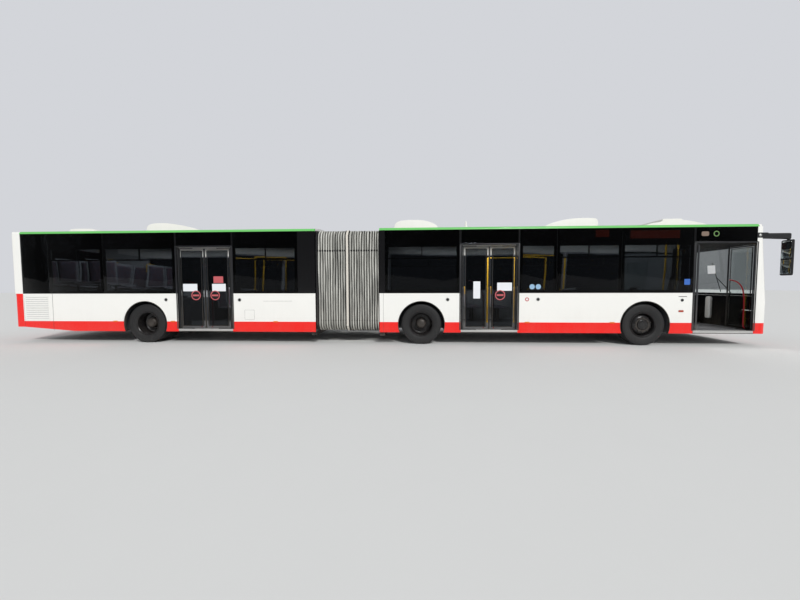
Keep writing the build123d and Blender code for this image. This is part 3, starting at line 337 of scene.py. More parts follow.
# dust that thins out upwards and runs in faint streaks
grimeGroup, given, result = newGroup("roadGrime", {"Low": 0.3, "High": 1.2, "Amount": 0.5},
                                     ["Mask"])
fall = rangeNode(grimeGroup, splitPoint(grimeGroup)["Z"], given["Low"], given["High"], 1.0, 0.0)
spots = product(grimeGroup, noiseNode(grimeGroup, evenly, 3.0, 5.0, 0.6),
                noiseNode(grimeGroup, (22, 22, 1.3), 1.0, 4.0, 0.6))
mask = product(grimeGroup, fall, rangeNode(grimeGroup, spots, 0.12, 0.42, 0.15, 1.0))
feed(grimeGroup, result["Mask"], mathNode(grimeGroup, "MULTIPLY", mask, given["Amount"], True))

# fine surface tooth plus slow tone change
grainGroup, given, result = newGroup("surfaceGrain", {"Scale": 200.0}, ["Tooth", "Tone"])
feed(grainGroup, result["Tooth"], noiseNode(grainGroup, evenly, given["Scale"]))
feed(grainGroup, result["Tone"], noiseNode(grainGroup, evenly, 1.7, 4.0))

# cloth woven across the seat and up its back
weaveGroup, given, result = newGroup("clothWeave", {"Threads": 900.0}, ["Height", "Tone"])
spot = splitPoint(weaveGroup)
threads = [mathNode(weaveGroup, "SINE", product(weaveGroup, line, given["Threads"]))
           for line in (spot["Y"], mathNode(weaveGroup, "ADD", spot["X"], spot["Z"]))]
feed(weaveGroup, result["Height"], product(weaveGroup, *threads))
feed(weaveGroup, result["Tone"], noiseNode(weaveGroup, evenly, 60.0, 4.0))


def srgb(*levels):
    return tuple(((c / 255 + 0.055) / 1.055) ** 2.4 if c > 10 else c / 3294 for c in levels) + (1,)


def newMaterial(name):
    material = bpy.data.materials.new(name)
    material.use_nodes = True
    return material, material.node_tree, material.node_tree.nodes["Principled BSDF"].inputs


def useGroup(tree, group, **values):
    look = tree.nodes.new("ShaderNodeGroup")
    look.node_tree = group
    for label, value in values.items():
        look.inputs[label].default_value = value
    return look.outputs


def addBump(tree, surface, height, strength, distance):
    lift = tree.nodes.new("ShaderNodeBump")
    lift.inputs["Strength"].default_value = strength
    lift.inputs["Distance"].default_value = distance
    tree.links.new(height, lift.inputs["Height"])
    tree.links.new(lift.outputs[0], surface["Normal"])


def shader(name, colour, rough, metal=0.0, grain=200.0, bump=0.05, tone=0.12, spread=0.15,
           dust=None, pattern=None, **sockets):
    # one finish: colour with slow tone change, tooth in roughness and bump, dust low down
    material, tree, surface = newMaterial(name)
    look = useGroup(tree, grainGroup, Scale=grain)
    if pattern:
        start = pattern(tree)
    else:
        start = tree.nodes.new("ShaderNodeRGB").outputs[0]
        start.default_value = colour
    dark = mixColour(tree, 1.0 - tone * 2, (0, 0, 0, 1), start)
    shade = mixColour(tree, look["Tone"], dark, start)
    tooth = rangeNode(tree, look["Tooth"], 0.3, 0.7, rough - spread / 2, rough + spread / 2)
    if dust:
        low, high, amount, *tint = dust
        film = useGroup(tree, grimeGroup, Low=low, High=high, Amount=amount)["Mask"]
        shade = mixColour(tree, film, shade, srgb(*(tint or dustTone)))
        tooth = mathNode(tree, "MAXIMUM", tooth, film)
    tree.links.new(shade, surface["Base Color"])
    tree.links.new(tooth, surface["Roughness"])
    surface["Metallic"].default_value = metal
    if bump:
        addBump(tree, surface, look["Tooth"], bump, 0.001)
    for label, value in sockets.items():
        surface[label.replace("_", " ")].default_value = value
    return material


def glassShader(name, colour, ior):
    material, tree, surface = newMaterial(name)
    surface["Transmission Weight"].default_value = 1.0
    surface["IOR"].default_value = ior
    look = useGroup(tree, grainGroup, Scale=9.0)
    dim = mixColour(tree, 0.88, (0, 0, 0, 1), colour)
    tree.links.new(mixColour(tree, look["Tone"], dim, colour), surface["Base Color"])
    tree.links.new(rangeNode(tree, look["Tooth"], 0.3, 0.7, 0.02, 0.04), surface["Roughness"])
    return material


def clothShader(name, colour, fleck, threads):
    material, tree, surface = newMaterial(name)
    weave = useGroup(tree, weaveGroup, Threads=threads)
    speck = rangeNode(tree, weave["Tone"], 0.52, 0.62, 0.0, 0.85)
    tree.links.new(mixColour(tree, speck, colour, fleck), surface["Base Color"])
    tree.links.new(rangeNode(tree, weave["Tone"], 0.3, 0.7, 0.78, 0.95), surface["Roughness"])
    surface["Sheen Weight"].default_value = 0.35
    surface["Sheen Roughness"].default_value = 0.5
    addBump(tree, surface, weave["Height"], 0.6, 0.0008)
    return material


def displayShader(name, glow, dots, strength):
    # dark matrix panel: a grid of dots
    material, tree, surface = newMaterial(name)
    spot = splitPoint(tree)
    lines = [mathNode(tree, "SINE", product(tree, way, dots))
             for way in (mathNode(tree, "ADD", spot["X"], spot["Y"]), spot["Z"])]
    grid = rangeNode(tree, product(tree, *lines), 0.2, 0.8, 0.0, 1.0)
    tree.links.new(mixColour(tree, grid, srgb(14, 12, 12), glow), surface["Base Color"])
    tree.links.new(rangeNode(tree, grid, 0, 1, 0.4, 0.25), surface["Roughness"])
    tree.links.new(mixColour(tree, grid, (0, 0, 0, 1), glow), surface["Emission Color"])
    surface["Emission Strength"].default_value = strength
    return material


dustTone = (150, 142, 128)
paints = {
    "white": srgb(240, 239, 233), "red": srgb(240, 24, 18), "green": srgb(112, 198, 106),
    "black": srgb(9, 9, 11), "inside": srgb(176, 178, 180),
}
bellows = {
    "half": 1.222, "low": 0.306, "high": 2.722, "corner": 0.200, "depth": 0.055, "pleats": 12,
    "opening": 0.770, "skin": 0.003, "gap": 0.046,
}


def whiteOverRed(tree, edge):
    return mixColour(tree, above(tree, splitPoint(tree)["Z"], edge), paints["red"],
                     paints["white"])


def wallColours(tree):
    # outside: white over red, black behind the panes; inside: pale laminate
    spot = splitPoint(tree)
    across = mathNode(tree, "ABSOLUTE", spot["Y"])
    colour = mixColour(tree, above(tree, spot["Z"], bus["belt"] + 0.0005),
                       whiteOverRed(tree, bus["redTop"]), paints["black"])
    colour = mixColour(tree, below(tree, across, bus["paneBack"]), colour, paints["black"])
    return mixColour(tree, below(tree, across, bus["innerFace"]), colour, paints["inside"])


def coverColours(tree):
    return whiteOverRed(tree, bus["redTop"])


def facingIn(tree, centreX):
    # 1 where a face of a shell looks towards the middle of its section
    spot = splitPoint(tree)
    way = tree.nodes.new("ShaderNodeSeparateXYZ")
    tree.links.new(tree.nodes.new("ShaderNodeNewGeometry").outputs["Normal"], way.inputs[0])
    lengthwise = product(tree, mathNode(tree, "SUBTRACT", spot["X"], centreX), way.outputs["X"])
    crosswise = product(tree, spot["Y"], way.outputs["Y"])
    return below(tree, mathNode(tree, "ADD", lengthwise, crosswise), 0.0)


def noseColours(tree):
    return mixColour(tree, facingIn(tree, 4.0), whiteOverRed(tree, bus["redTop"]),
                     paints["black"])


def tailColours(tree):
    return mixColour(tree, facingIn(tree, -4.0), whiteOverRed(tree, bus["belt"]),
                     paints["inside"])


def roofColours(tree):
    # green edge along both sides, white elsewhere
    spot = splitPoint(tree)
    edge = product(tree, below(tree, spot["Z"], bus["stripeTop"]),
                   above(tree, mathNode(tree, "ABSOLUTE", spot["Y"]), 1.185))
    edge = product(tree, edge, below(tree, spot["X"], at(0.310)))
    edge = product(tree, edge, above(tree, spot["X"], at(17.730)))
    return mixColour(tree, edge, paints["white"], paints["green"])


def bellowsColours(tree):
    # painted highlight on the narrow crests, painted shade on the grey flanks and darker painted
    # shade in the valleys; two rows of straps; dark end flanges
    spot = splitPoint(tree)
    pitch = ((bus["rearStart"] - bus["frontEnd"]) / 2 - 0.047) / bellows["pleats"]
    along = away(tree, spot["X"], at(bus["pivot"]))
    bend = noiseNode(tree, (11, 1.2, 1.9), 1.0, 1.0)
    along = mathNode(tree, "ADD", along, rangeNode(tree, bend, 0.3, 0.7, -0.007, 0.007))
    phase = mathNode(tree, "DIVIDE", mathNode(tree, "SUBTRACT", along, bellows["gap"]), pitch)
    depth = away(tree, mathNode(tree, "FRACT", phase), 0.5)
    # uneven streaked tone that makes some crests and flanks lighter or darker
    unevenTone = noiseNode(tree, (16, 5, 1.1), 1.0)
    # crests painted lighter as a highlight, flanks painted darker as shade
    litCrest = mixColour(tree, rangeNode(tree, unevenTone, 0.38, 0.60, 0.0, 1.0), srgb(150, 150, 143),
                      srgb(226, 225, 216))
    shadedFlank = mixColour(tree, unevenTone, srgb(92, 92, 88), srgb(178, 177, 168))
    colour = mixColour(tree, rangeNode(tree, depth, 0.06, 0.20, 0.0, 1.0), litCrest, shadedFlank)
    # valleys painted near black as shade in the creases
    colour = mixColour(tree, rangeNode(tree, depth, 0.36, 0.45, 0.0, 1.0), colour,
                       srgb(30, 31, 31))
    for height, half, least in ((2.228, 0.020, 0.10), (0.567, 0.007, 0.22)):
        row = product(tree, below(tree, away(tree, spot["Z"], height), half),
                      above(tree, depth, least))
        colour = mixColour(tree, row, colour, srgb(34, 34, 34))
    ends = mathNode(tree, "MAXIMUM", below(tree, spot["X"], at(bus["rearStart"] - 0.060)),
                    above(tree, spot["X"], at(bus["frontEnd"] + 0.024)))
    return mixColour(tree, ends, colour, srgb(24, 24, 25))


def ringColours(tree):
    # pale band along the middle of the hoop, sealing rubber on both sides of it
    along = away(tree, splitPoint(tree)["X"], at(bus["pivot"]))
    return mixColour(tree, above(tree, along, 0.026), srgb(222, 216, 204), srgb(44, 44, 44))


print("shaders")
gloss = {"Coat_Weight": 0.12, "Coat_Roughness": 0.06, "Specular_IOR_Level": 0.3}
lowDust, tailDust = (0.30, 1.05, 0.10), (0.35, 1.4, 0.10)
bodyPaints = {
    "wall": ("bodyPaint", wallColours, lowDust), "nose": ("nosePaint", noseColours, lowDust),
    "tail": ("tailPaint", tailColours, tailDust), "red": ("redPaint", None, tailDust),
    "cover": ("cornerPaint", coverColours, lowDust),
}
finishes = {key: shader(name, paints["red"], 0.28, 0.0, 900, 0.02, 0.02, 0.06, dust, pattern,
                        **gloss)
            for key, (name, pattern, dust) in bodyPaints.items()}
# material, colour, roughness, metallic, grain, bump, tone change, then spread and dust
plainFinishes = {
    "unit": ("roofUnitPaint", (232, 232, 224), 0.42, 0, 500, 0.06, 0.05, 0.15,
             (2.6, 3.1, 0.35, 190, 188, 176)),
    "rubber": ("sealRubber", (26, 26, 27), 0.62, 0, 700, 0.15, 0.15, 0.15, (0.3, 1.6, 0.3)),
    "frit": ("blackBorder", (13, 14, 16), 0.2, 0, 900, 0.01, 0.1),
    "plastic": ("blackPlastic", (27, 28, 30), 0.5, 0, 1100, 0.3, 0.12),
    "tyre": ("tyreRubber", (30, 30, 31), 0.66, 0, 420, 0.3, 0.15, 0.15,
             (-0.1, 1.1, 0.16, 92, 88, 82)),
    "rim": ("rimPaint", (30, 30, 32), 0.30, 0, 300, 0.12, 0.2, 0.15, (0, 1.2, 0.16, 96, 84, 72)),
    "hub": ("hubIron", (82, 78, 74), 0.38, 0.5, 160, 0.3, 0.25, 0.15, (0, 1.1, 0.2, 96, 78, 62)),
    "chassis": ("chassisPaint", (30, 30, 31), 0.6, 0, 120, 0.3, 0.25, 0.15,
                (0.1, 0.9, 0.6, 96, 88, 78)),
    "iron": ("axleIron", (52, 51, 50), 0.66, 0.2, 140, 0.5, 0.3, 0.15,
             (0.1, 0.9, 0.6, 98, 88, 76)),
    "doorFrame": ("doorPaint", (44, 46, 50), 0.42, 0, 700, 0.06, 0.08, 0.15, (0.35, 1.3, 0.35)),
    "surround": ("surroundPaint", (34, 35, 38), 0.42, 0, 700, 0.06, 0.08, 0.15,
                 (0.35, 1.3, 0.25)),
    "sill": ("sillAluminium", (216, 216, 212), 0.36, 0.55, 240, 0.1, 0.12),
    "yellow": ("yellowRail", (226, 178, 34), 0.34, 0, 500, 0.05, 0.06),
    "redRail": ("redRail", (150, 16, 26), 0.34, 0, 500, 0.05, 0.06),
    "shell": ("seatShell", (150, 153, 158), 0.45, 0, 900, 0.25, 0.08),
    "panel": ("sidePanelling", (120, 123, 128), 0.5, 0, 800, 0.2, 0.08),
    "floor": ("floorCovering", (88, 90, 95), 0.66, 0, 600, 0.3, 0.2, 0.15, (0.3, 0.42, 0.3)),
    "lining": ("roofLining", (214, 214, 210), 0.5, 0, 700, 0.1, 0.05),
    "orange": ("orangeMarker", (236, 120, 32), 0.25, 0, 300, 0.1, 0.1),
    "amber": ("amberLens", (176, 62, 34), 0.2, 0, 160, 0.3, 0.12),
    "redLens": ("redLens", (176, 18, 20), 0.18, 0, 160, 0.3, 0.12),
    "whiteLens": ("whiteLens", (226, 228, 230), 0.12, 0, 160, 0.3, 0.06),
    "mirror": ("mirrorGlass", (214, 218, 222), 0.03, 1.0, 200, 0.0, 0.02, 0.02),
    "chrome": ("lampBowl", (214, 216, 220), 0.14, 1.0, 220, 0.03, 0.04),
    "label": ("blankLabel", (232, 234, 236), 0.45, 0, 700, 0.03, 0.03),
    "paleBlue": ("paleBlueSheet", (150, 186, 214), 0.4, 0, 120, 0.03, 0.05),
    "greenSheet": ("greenSheet", (120, 160, 96), 0.4, 0, 120, 0.03, 0.05),
    "patch": ("patchSheet", (132, 112, 98), 0.4, 0, 120, 0.03, 0.05),
    "disc": ("blankDisc", (196, 92, 96), 0.45, 0, 700, 0.03, 0.05),
    "blue": ("blueLabel", (52, 104, 186), 0.45, 0, 700, 0.03, 0.05),
}
for key, (name, colour, *rest) in plainFinishes.items():
    coat = {"Coat_Weight": 0.6} if key in ("redLens", "whiteLens") else {}
    finishes[key] = shader(name, srgb(*colour), *rest, **coat)
finishes["roof"] = shader("roofPaint", None, 0.34, 0, 900, 0.02, 0.03, 0.08, None, roofColours,
                          **gloss)
finishes["white"] = shader("whitePaint", paints["white"], 0.3, 0, 900, 0.02, 0.02, 0.06, **gloss)
finishes["ring"] = shader("hoopPaint", None, 0.44, 0, 260, 0.05, 0.08, pattern=ringColours)
finishes["bellows"] = shader("bellowsCloth", None, 0.72, 0, 520, 0.4, 0.08, 0.15,
                             (0.2, 1.3, 0.35, 120, 114, 104), bellowsColours)
finishes["tint"] = glassShader("tintedGlass", (0.105, 0.118, 0.130, 1), 1.2)
finishes["clear"] = glassShader("clearGlass", (0.86, 0.91, 0.90, 1), 1.35)
finishes["seat"] = clothShader("seatCloth", srgb(74, 78, 92), srgb(128, 52, 56), 1400.0)
finishes["display"] = displayShader("dotDisplay", srgb(150, 52, 30), 520.0, 2.4)
finishes["dimDisplay"] = displayShader("dimDisplay", srgb(96, 44, 30), 520.0, 0.12)

# CAD nodes whose shape is right only get their finish
nodeFinish = {
    "wall": ["front_right_wall", "front_door_header", "front_left_wall", "rear_right_wall",
             "rear_left_wall"],
    "nose": ["front_mask"], "tail": ["rear_mask"], "roof": ["front_roof", "rear_roof"],
    "floor": ["front_floor", "front_wheel_boxes", "rear_floor"], "clear": ["windscreen"],
    "chassis": ["front_frame", "rear_frame"], "ring": ["centre_frame"], "red": ["engine_lid"],
    "iron": ["front_axles", "drive_axle", "knuckle_left", "knuckle_right", "engine"],
    "plastic": [f"{d}_door_post_{leaf}" for d in ("front", "middle", "rear") for leaf in "ab"],
}
for finish, names in nodeFinish.items():
    for name in names:
        for holder in nodes[name].material_slots:
            holder.material = finishes[finish]
print("carried nodes finished")

# windows
sheet = 0.0006  # thickness of printed sheets and labels
windows = {
    "top": 2.688, "bottom": 1.221, "thick": 0.004, "corner": 0.028, "doorTop": 2.344, "tail": 17.0,
    "front": [(-1, 1.716, 3.230), (-1, 3.286, 4.671), (-1, 4.727, 5.510), (-1, 6.950, 8.640),
              (1, 0.330, 1.420), (1, 1.530, 3.230), (1, 3.286, 4.671), (1, 4.727, 6.540),
              (1, 6.596, 8.640)],
    "rear": [(-1, 10.780, 12.306), (-1, 13.805, 15.578), (-1, 15.634, 16.992),
             (-1, 17.048, 17.660), (1, 10.780, 12.306), (1, 12.362, 13.749), (1, 13.805, 15.578),
             (1, 15.634, 16.992), (1, 17.048, 17.660)],
    "headers": {"front": [(0.308, 1.640), (5.575, 6.878)], "rear": [(12.374, 13.731)]},
}


def sidePanes(openings, headers=()):
    top, outer, thick = windows["top"], bus["half"], windows["thick"]
    panes = [sidePanel(side, first - 0.024, last + 0.024, windows["bottom"], top, outer, thick,
                       windows["corner"], 0.0012) for side, first, last in openings]
    return panes + [sidePanel(-1, first, last, windows["doorTop"], top, outer, thick, 0.012,
                              0.0012) for first, last in headers]


cabWindow = windows["front"][4]
tinted = [w for w in windows["front"] if w != cabWindow]
frontTint = makePiece("frontSideGlass", "front", "tint",
                      sidePanes(tinted, windows["headers"]["front"]))
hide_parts("front_side_glass")
makePiece("cabSideGlass", "front", "clear", sidePanes([cabWindow]))
makePiece("rearSideGlass", "rear", "tint",
          sidePanes(windows["rear"], windows["headers"]["rear"]))

# printed border behind each pane, closed over the dark tail panels
for section in sections:
    borders = []
    for side, first, last in windows[section]:
        ends = (side, first - 0.02, last + 0.02, 1.225, 2.684, 1.2455)
        if first > windows["tail"]:
            borders.append(sidePanel(*ends, 0.001, 0.02))
        else:
            borders.append(sideFrame(*ends, 0.062, 0.001, 0.02))
            borders.append(sidePanel(side, first + 0.03, last - 0.03, 2.300, 2.640, 1.2453, 0.001,
                                     0.004))
    makePiece(f"{section}PaneBorders", section, "frit", borders)

# inner window trims and the bars of the opening top lights
for section in sections:
    trims, bars = [], []
    for side, first, last in windows[section]:
        if first > windows["tail"] or (side, first, last) == cabWindow:
            continue
        trims.append(sideFrame(side, first - 0.012, last + 0.012, 1.238, 2.342, 1.2, 0.03, 0.014,
                               0.04))
        if last - first > 1.3:
            y, middle = side * 1.222, at((first + last) / 2)
            bars.append(addBar(first, last, y - 0.012, y + 0.012, 2.020, 2.052))
            bars.append(addBox((middle - 0.012, y - 0.010, 2.05),
                               (middle + 0.012, y + 0.010, 2.335), 0.003))
    makePiece(f"{section}WindowTrims", section, "panel", trims)
    makePiece(f"{section}TopLightBars", section, "plastic", bars)
print("windows")

# nose and tail are bowed: flat panels are bent onto their plan
tailShape = {"tip": at(17.980), "bulge": 0.012, "shoulder": 1.190, "way": -1}
noseShape = {"tip": at(0.0), "bulge": 0.040, "shoulder": 1.140, "way": 1}
creases = [1.000, 1.201, 1.217]  # heights where nose or tail change their slope


def bowedX(y, shape):
    # the plan is three straight runs a side, as the shell behind it
    part = shape["shoulder"] / 3
    spot = min(abs(y), shape["shoulder"]) / part
    low = math.floor(spot)
    ends = [shape["bulge"] * ((i * part) / shape["shoulder"]) ** 2 if i < 3 else shape["bulge"]
            for i in range(5)]
    return shape["tip"] - shape["way"] * (ends[low] + (ends[min(low + 1, 4)] - ends[low])
                                          * (spot - low))


def noseX(y, z):
    lean = 0.010 * (1 - (z - 0.289) / 0.711) if z < 1.0 else 0.143 * (z - 1.0) / 1.692
    return bowedX(y, noseShape) - lean


def tailX(y, z):
    tuck = 0.030 * min(1.0, max(0.0, (1.217 - z) / 0.016))
    return bowedX(y, tailShape) + tuck


def bowed(low, high, bottom, top, surface, out, thick, corner=0.02, cuts=11, rim=0.0):
    # panel on the nose or tail between two widths and heights, following its bow
    shape = noseShape if surface is noseX else tailShape
    way = shape["way"]
    mesh = addPanel(facingX(0, low, high, bottom, top), (-way * thick, 0, 0), corner, rim)
    widths = [low + (high - low) * i / cuts for i in range(1, cuts)]
    widths += [shape["shoulder"] * i / 3 for i in range(-3, 4)]
    heights = [bottom + (top - bottom) * i / cuts for i in range(1, cuts)] + creases
    for y in widths:
        cut(mesh, (0, y, 0), (0, 1, 0))
    for z in heights:
        cut(mesh, (0, 0, z), (0, 0, 1))
    for vert in mesh.verts:
        vert.co.x += surface(vert.co.y, vert.co.z) + way * out
    return mesh


backGlass = makePiece("backWindow", "rear", "tint",
                      [bowed(-0.956, 0.956, 1.504, 2.416, tailX, -0.001, 0.006, 0.06)])
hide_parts("rear_glass")
print("back window")

# wheels
hubZ = 0.478
axles = {"front": 2.700, "middle": 7.805, "rear": 14.575}
tyreSteps, hubSteps, lugCount = 96, 64, 60
nutCircle, nutSize, nutCount = 0.1675, 0.0165, 10
# half section of the tyre from the middle of the tread: distance across, radius
treadRun = [(0.000, 0.4745), (0.010, 0.4745), (0.012, 0.4640), (0.020, 0.4640), (0.022, 0.4772),
            (0.044, 0.4770), (0.046, 0.4640), (0.056, 0.4640), (0.058, 0.4764), (0.082, 0.4758),
            (0.084, 0.4640), (0.092, 0.4640), (0.094, 0.4745), (0.112, 0.4728), (0.120, 0.4690),
            (0.126, 0.4580), (0.1275, 0.4520), (0.1300, 0.4460), (0.1330, 0.4330),
            (0.1350, 0.4320), (0.1360, 0.4240), (0.1350, 0.4225), (0.1374, 0.4000),
            (0.1378, 0.3900), (0.1372, 0.3740), (0.1346, 0.3730), (0.1340, 0.3660),
            (0.1326, 0.3570), (0.1340, 0.3560), (0.1330, 0.3500), (0.1312, 0.3490),
            (0.1290, 0.3350), (0.1302, 0.3340), (0.1286, 0.3270), (0.1266, 0.3260),
            (0.1240, 0.3180), (0.1180, 0.3080), (0.1170, 0.3000), (0.1130, 0.2900),
            (0.1080, 0.2862)]
tyreInside = [(-0.100, 0.2890), (-0.122, 0.3600), (-0.118, 0.4400), (-0.090, 0.4540),
              (0.090, 0.4540), (0.118, 0.4400), (0.122, 0.3600), (0.100, 0.2890)]
tyreRun = treadRun[::-1] + [(-a, r) for a, r in treadRun[1:]] + tyreInside
rimRun = [(0.112, 0.2850), (0.122, 0.2905), (0.126, 0.2880), (0.124, 0.2800), (0.112, 0.2740),
          (0.104, 0.2620), (0.070, 0.2560), (0.020, 0.2480), (-0.070, 0.2480), (-0.104, 0.2620),
          (-0.112, 0.2740), (-0.124, 0.2800), (-0.126, 0.2880), (-0.122, 0.2905),
          (-0.112, 0.2850), (-0.104, 0.2840), (-0.100, 0.2700), (-0.070, 0.2570),
          (0.020, 0.2570), (0.070, 0.2650), (0.100, 0.2720), (0.104, 0.2840)]
# rows: distances of the tyres from the middle of the bus; nuts: place across, length
# bolts: count, place across, radius of their ring, size, length
singleWheel = {
    # convex disc: rises from the rim seat to a bolted face, then a grease cap
    "rows": (1.078,), "nuts": (0.093, 0.028), "bolts": (8, 0.111, 0.096, 0.009, 0.010),
    "disc": [(0.012, 0.2490), (0.030, 0.2440), (0.060, 0.2180), (0.082, 0.1960), (0.093, 0.1760),
             (0.094, 0.1420), (0.086, 0.1340), (0.086, 0.1180), (0.108, 0.1120), (0.112, 0.1040),
             (0.112, 0.0840), (0.118, 0.0800), (0.119, 0.0600), (0.114, 0.0560), (0.114, 0.0),
             (0.070, 0.0), (0.070, 0.1700), (0.048, 0.2050), (0.018, 0.2380), (0.000, 0.2480)],
    "hub": [(0.094, 0.158), (0.100, 0.156), (0.101, 0.128), (0.094, 0.126)],
}
twinWheel = {
    # deep dish: the disc sits at the plane between the twins
    "rows": (1.078, 0.768), "nuts": (-0.143, 0.032), "bolts": (10, 0.002, 0.099, 0.010, 0.014),
    "disc": [(-0.100, 0.2500), (-0.118, 0.2440), (-0.134, 0.2200), (-0.143, 0.1960),
             (-0.143, 0.1000), (-0.158, 0.1000), (-0.158, 0.2000), (-0.148, 0.2300),
             (-0.124, 0.2500)],
    "hub": [(-0.143, 0.1360), (-0.120, 0.1320), (-0.020, 0.1180), (-0.004, 0.1120),
            (0.006, 0.1000), (0.010, 0.0920), (0.024, 0.0880), (0.030, 0.0780), (0.030, 0.0),
            (-0.140, 0.0)],
}


def tyreLugs(x, y):
    # short cross blocks on both shoulders
    lugs = []
    for side in sides:
        block = addBox((-0.017, side * 0.094, 0.466), (0.017, side * 0.1255, 0.4735), 0.002, 1)
        for vert in block.verts:
            vert.co.z -= max(0.0, abs(vert.co.y) - 0.112) * 0.45
        for i in range(lugCount):
            turn = Matrix.Rotation(2 * math.pi * i / lugCount, 4, "Y")
            lugs.append(placed(block.copy(), Matrix.Translation((x, y, hubZ)) @ turn))
        block.free()
    return lugs


def roundHub(x, y, radius, count, shift=0.0):
    turns = [2 * math.pi * (i + shift) / count for i in range(count)]
    return [Vector((x + radius * math.cos(a), y, hubZ + radius * math.sin(a))) for a in turns]


def studs(spots, reach, size, steps, rounding):
    return [addRod(s, s + Vector((0, reach, 0)), size, steps, rounding) for s in spots]


def addWheel(axle, side, name, kind):
    x, body = at(axles[axle]), f"{axle}_wheel_{name.lower()}"
    rows = [side * across for across in kind["rows"]]
    tyres, rims = [], []
    for y in rows:
        tyres.append(turned(alongY, (x, y, hubZ), tyreRun, tyreSteps, True, side))
        tyres += tyreLugs(x, y)
        rims.append(turned(alongY, (x, y, hubZ), rimRun, hubSteps, True, side))
    tyre = makePiece(f"{axle}Tyre{name}", body, "tyre", tyres)
    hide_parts(f"{axle}_wheel_tyre_{name.lower()}")
    middle = (x, rows[0], hubZ)
    rims.append(turned(alongY, middle, kind["disc"], hubSteps, True, side))
    rim = makePiece(f"{axle}Rim{name}", body, "rim", rims)
    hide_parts(f"{axle}_wheel_rim_{name.lower()}")
    across, long = kind["nuts"]
    nuts = roundHub(x, rows[0] + side * across, nutCircle, nutCount, 0.5)
    parts = studs(nuts, side * long * 0.6, nutSize, 6, 0.003)
    parts += studs(nuts, side * long, nutSize * 0.62, 12, 0.003)
    count, across, radius, size, long = kind["bolts"]
    parts += studs(roundHub(x, rows[0] + side * across, radius, count), side * long, size, 6,
                   0.002)
    parts.append(turned(alongY, middle, kind["hub"], hubSteps, True, side))
    makePiece(f"{axle}Hub{name}", body, "hub", parts)


for side, name in ((1, "Left"), (-1, "Right")):
    addWheel("front", side, name, singleWheel)
    addWheel("middle", side, name, twinWheel)
    addWheel("rear", side, name, twinWheel)
print("wheels")


# bellows: rounded hoops of coated cloth, pleat by pleat
def hoopOutline(mesh, x, inset):
    y, low, high = bellows["half"] - inset, bellows["low"] + inset, bellows["high"] - inset
    loop = [mesh.verts.new(c) for c in facingX(x, -y, y, low, high)]
    mesh.faces.new(loop)
    rounded(mesh, loop, bellows["corner"], 7, True)
    bmesh.ops.delete(mesh, geom=mesh.faces[:], context="FACES_ONLY")
    return mesh.edges[:]


def pleatWave(first, last):
    # stations and insets of one half: narrow valleys, full rounded crests
    wave = [(0.0, 1.0), (0.07, 0.90), (0.11, 0.45), (0.18, 0.12), (0.32, 0.0), (0.68, 0.0),
            (0.82, 0.12), (0.89, 0.45), (0.93, 0.90)]
    pitch = (last - first) / bellows["pleats"]
    run = [(first + (i + share) * pitch, deep * bellows["depth"])
           for i in range(bellows["pleats"]) for share, deep in wave]
    return run + [(last, bellows["depth"])]


def openBelow(mesh, height):
    # hoops are open below, over the turntable
    for y in (bellows["opening"], -bellows["opening"]):
        cut(mesh, (0, y, 0), (0, 1, 0))
    under = [f for f in mesh.faces if f.calc_center_median().z < height
             and abs(f.calc_center_median().y) < bellows["opening"] - 0.001]
    bmesh.ops.delete(mesh, geom=under, context="FACES")


def pleatedHalf(first, last):
    mesh = bmesh.new()
    run = pleatWave(first, last)
    inset = run[0][1]
    edges = hoopOutline(mesh, at(run[0][0]), inset)
    centre = Vector((0, 0, (bellows["low"] + bellows["high"]) / 2))
    tall = (bellows["high"] - bellows["low"]) / 2
    for station, deep in run[1:]:
        here = edges[0].verts[0].co.x
        verts, edges = grow(mesh, (at(station) - here, 0, 0), edges)
        bmesh.ops.scale(mesh, verts=verts, space=Matrix.Translation(-centre),
                        vec=(1, (bellows["half"] - deep) / (bellows["half"] - inset),
                             (tall - deep) / (tall - inset)))
        inset = deep
    openBelow(mesh, 0.45)
    for i in range(1, 12):
        cut(mesh, (0, 0, 0.5 + i * 0.18), (0, 0, 1))
    ends = (at(first), at(last))
    for vert in mesh.verts:  # pleats hang a little unevenly
        calm = min(1.0, min(abs(vert.co.x - end) for end in ends) / 0.05)
        vert.co.x += calm * 0.020 * noise.noise((vert.co.x * 11, vert.co.y * 1.2, vert.co.z * 1.9))
    return mesh


halves = {
    "front": (bus["frontEnd"] + 0.001, bus["pivot"] - bellows["gap"]),
    "rear": (bus["pivot"] + bellows["gap"], bus["rearStart"] - 0.001),
}
for section, (first, last) in halves.items():
    piece = makePiece(f"bellows{section.capitalize()}Half", None, "bellows",
                      [pleatedHalf(first, last)], 50)
    skin = piece.modifiers.new("skin", "SOLIDIFY")
    skin.thickness = bellows["skin"]
    skin.offset = -1
    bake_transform(piece)
    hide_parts(f"{section}_bellows")

middleX, half = at(bus["pivot"]), bellows["half"] + 0.004
hoop = addFrame(facingX(middleX - 0.023, -half, half, bellows["low"] - 0.004,
                        bellows["high"] + 0.004), 0.024, (0.046, 0, 0), 0.204)
openBelow(hoop, 0.42)
bmesh.ops.holes_fill(hoop, edges=[e for e in hoop.edges if e.is_boundary], sides=8)
makePiece("centreHoop", "centre_ring", "ring", [hoop])
print("bellows")

# door leaves on their arms
doors = {
    "cornerCover": 0.092, "inset": 0.035, "postInset": 0.030, "gap": 0.010, "thick": 0.036,
    "frame": 0.055, "stile": 0.020, "edge": 0.030, "low": 0.372, "high": 2.300, "swing": 84.0,
    "doorways": [("front", 0.244, 1.648, 1.0, "front"), ("middle", 5.567, 6.886, 0.0, "front"),
                 ("rear", 12.366, 13.739, 0.0, "rear")],
}


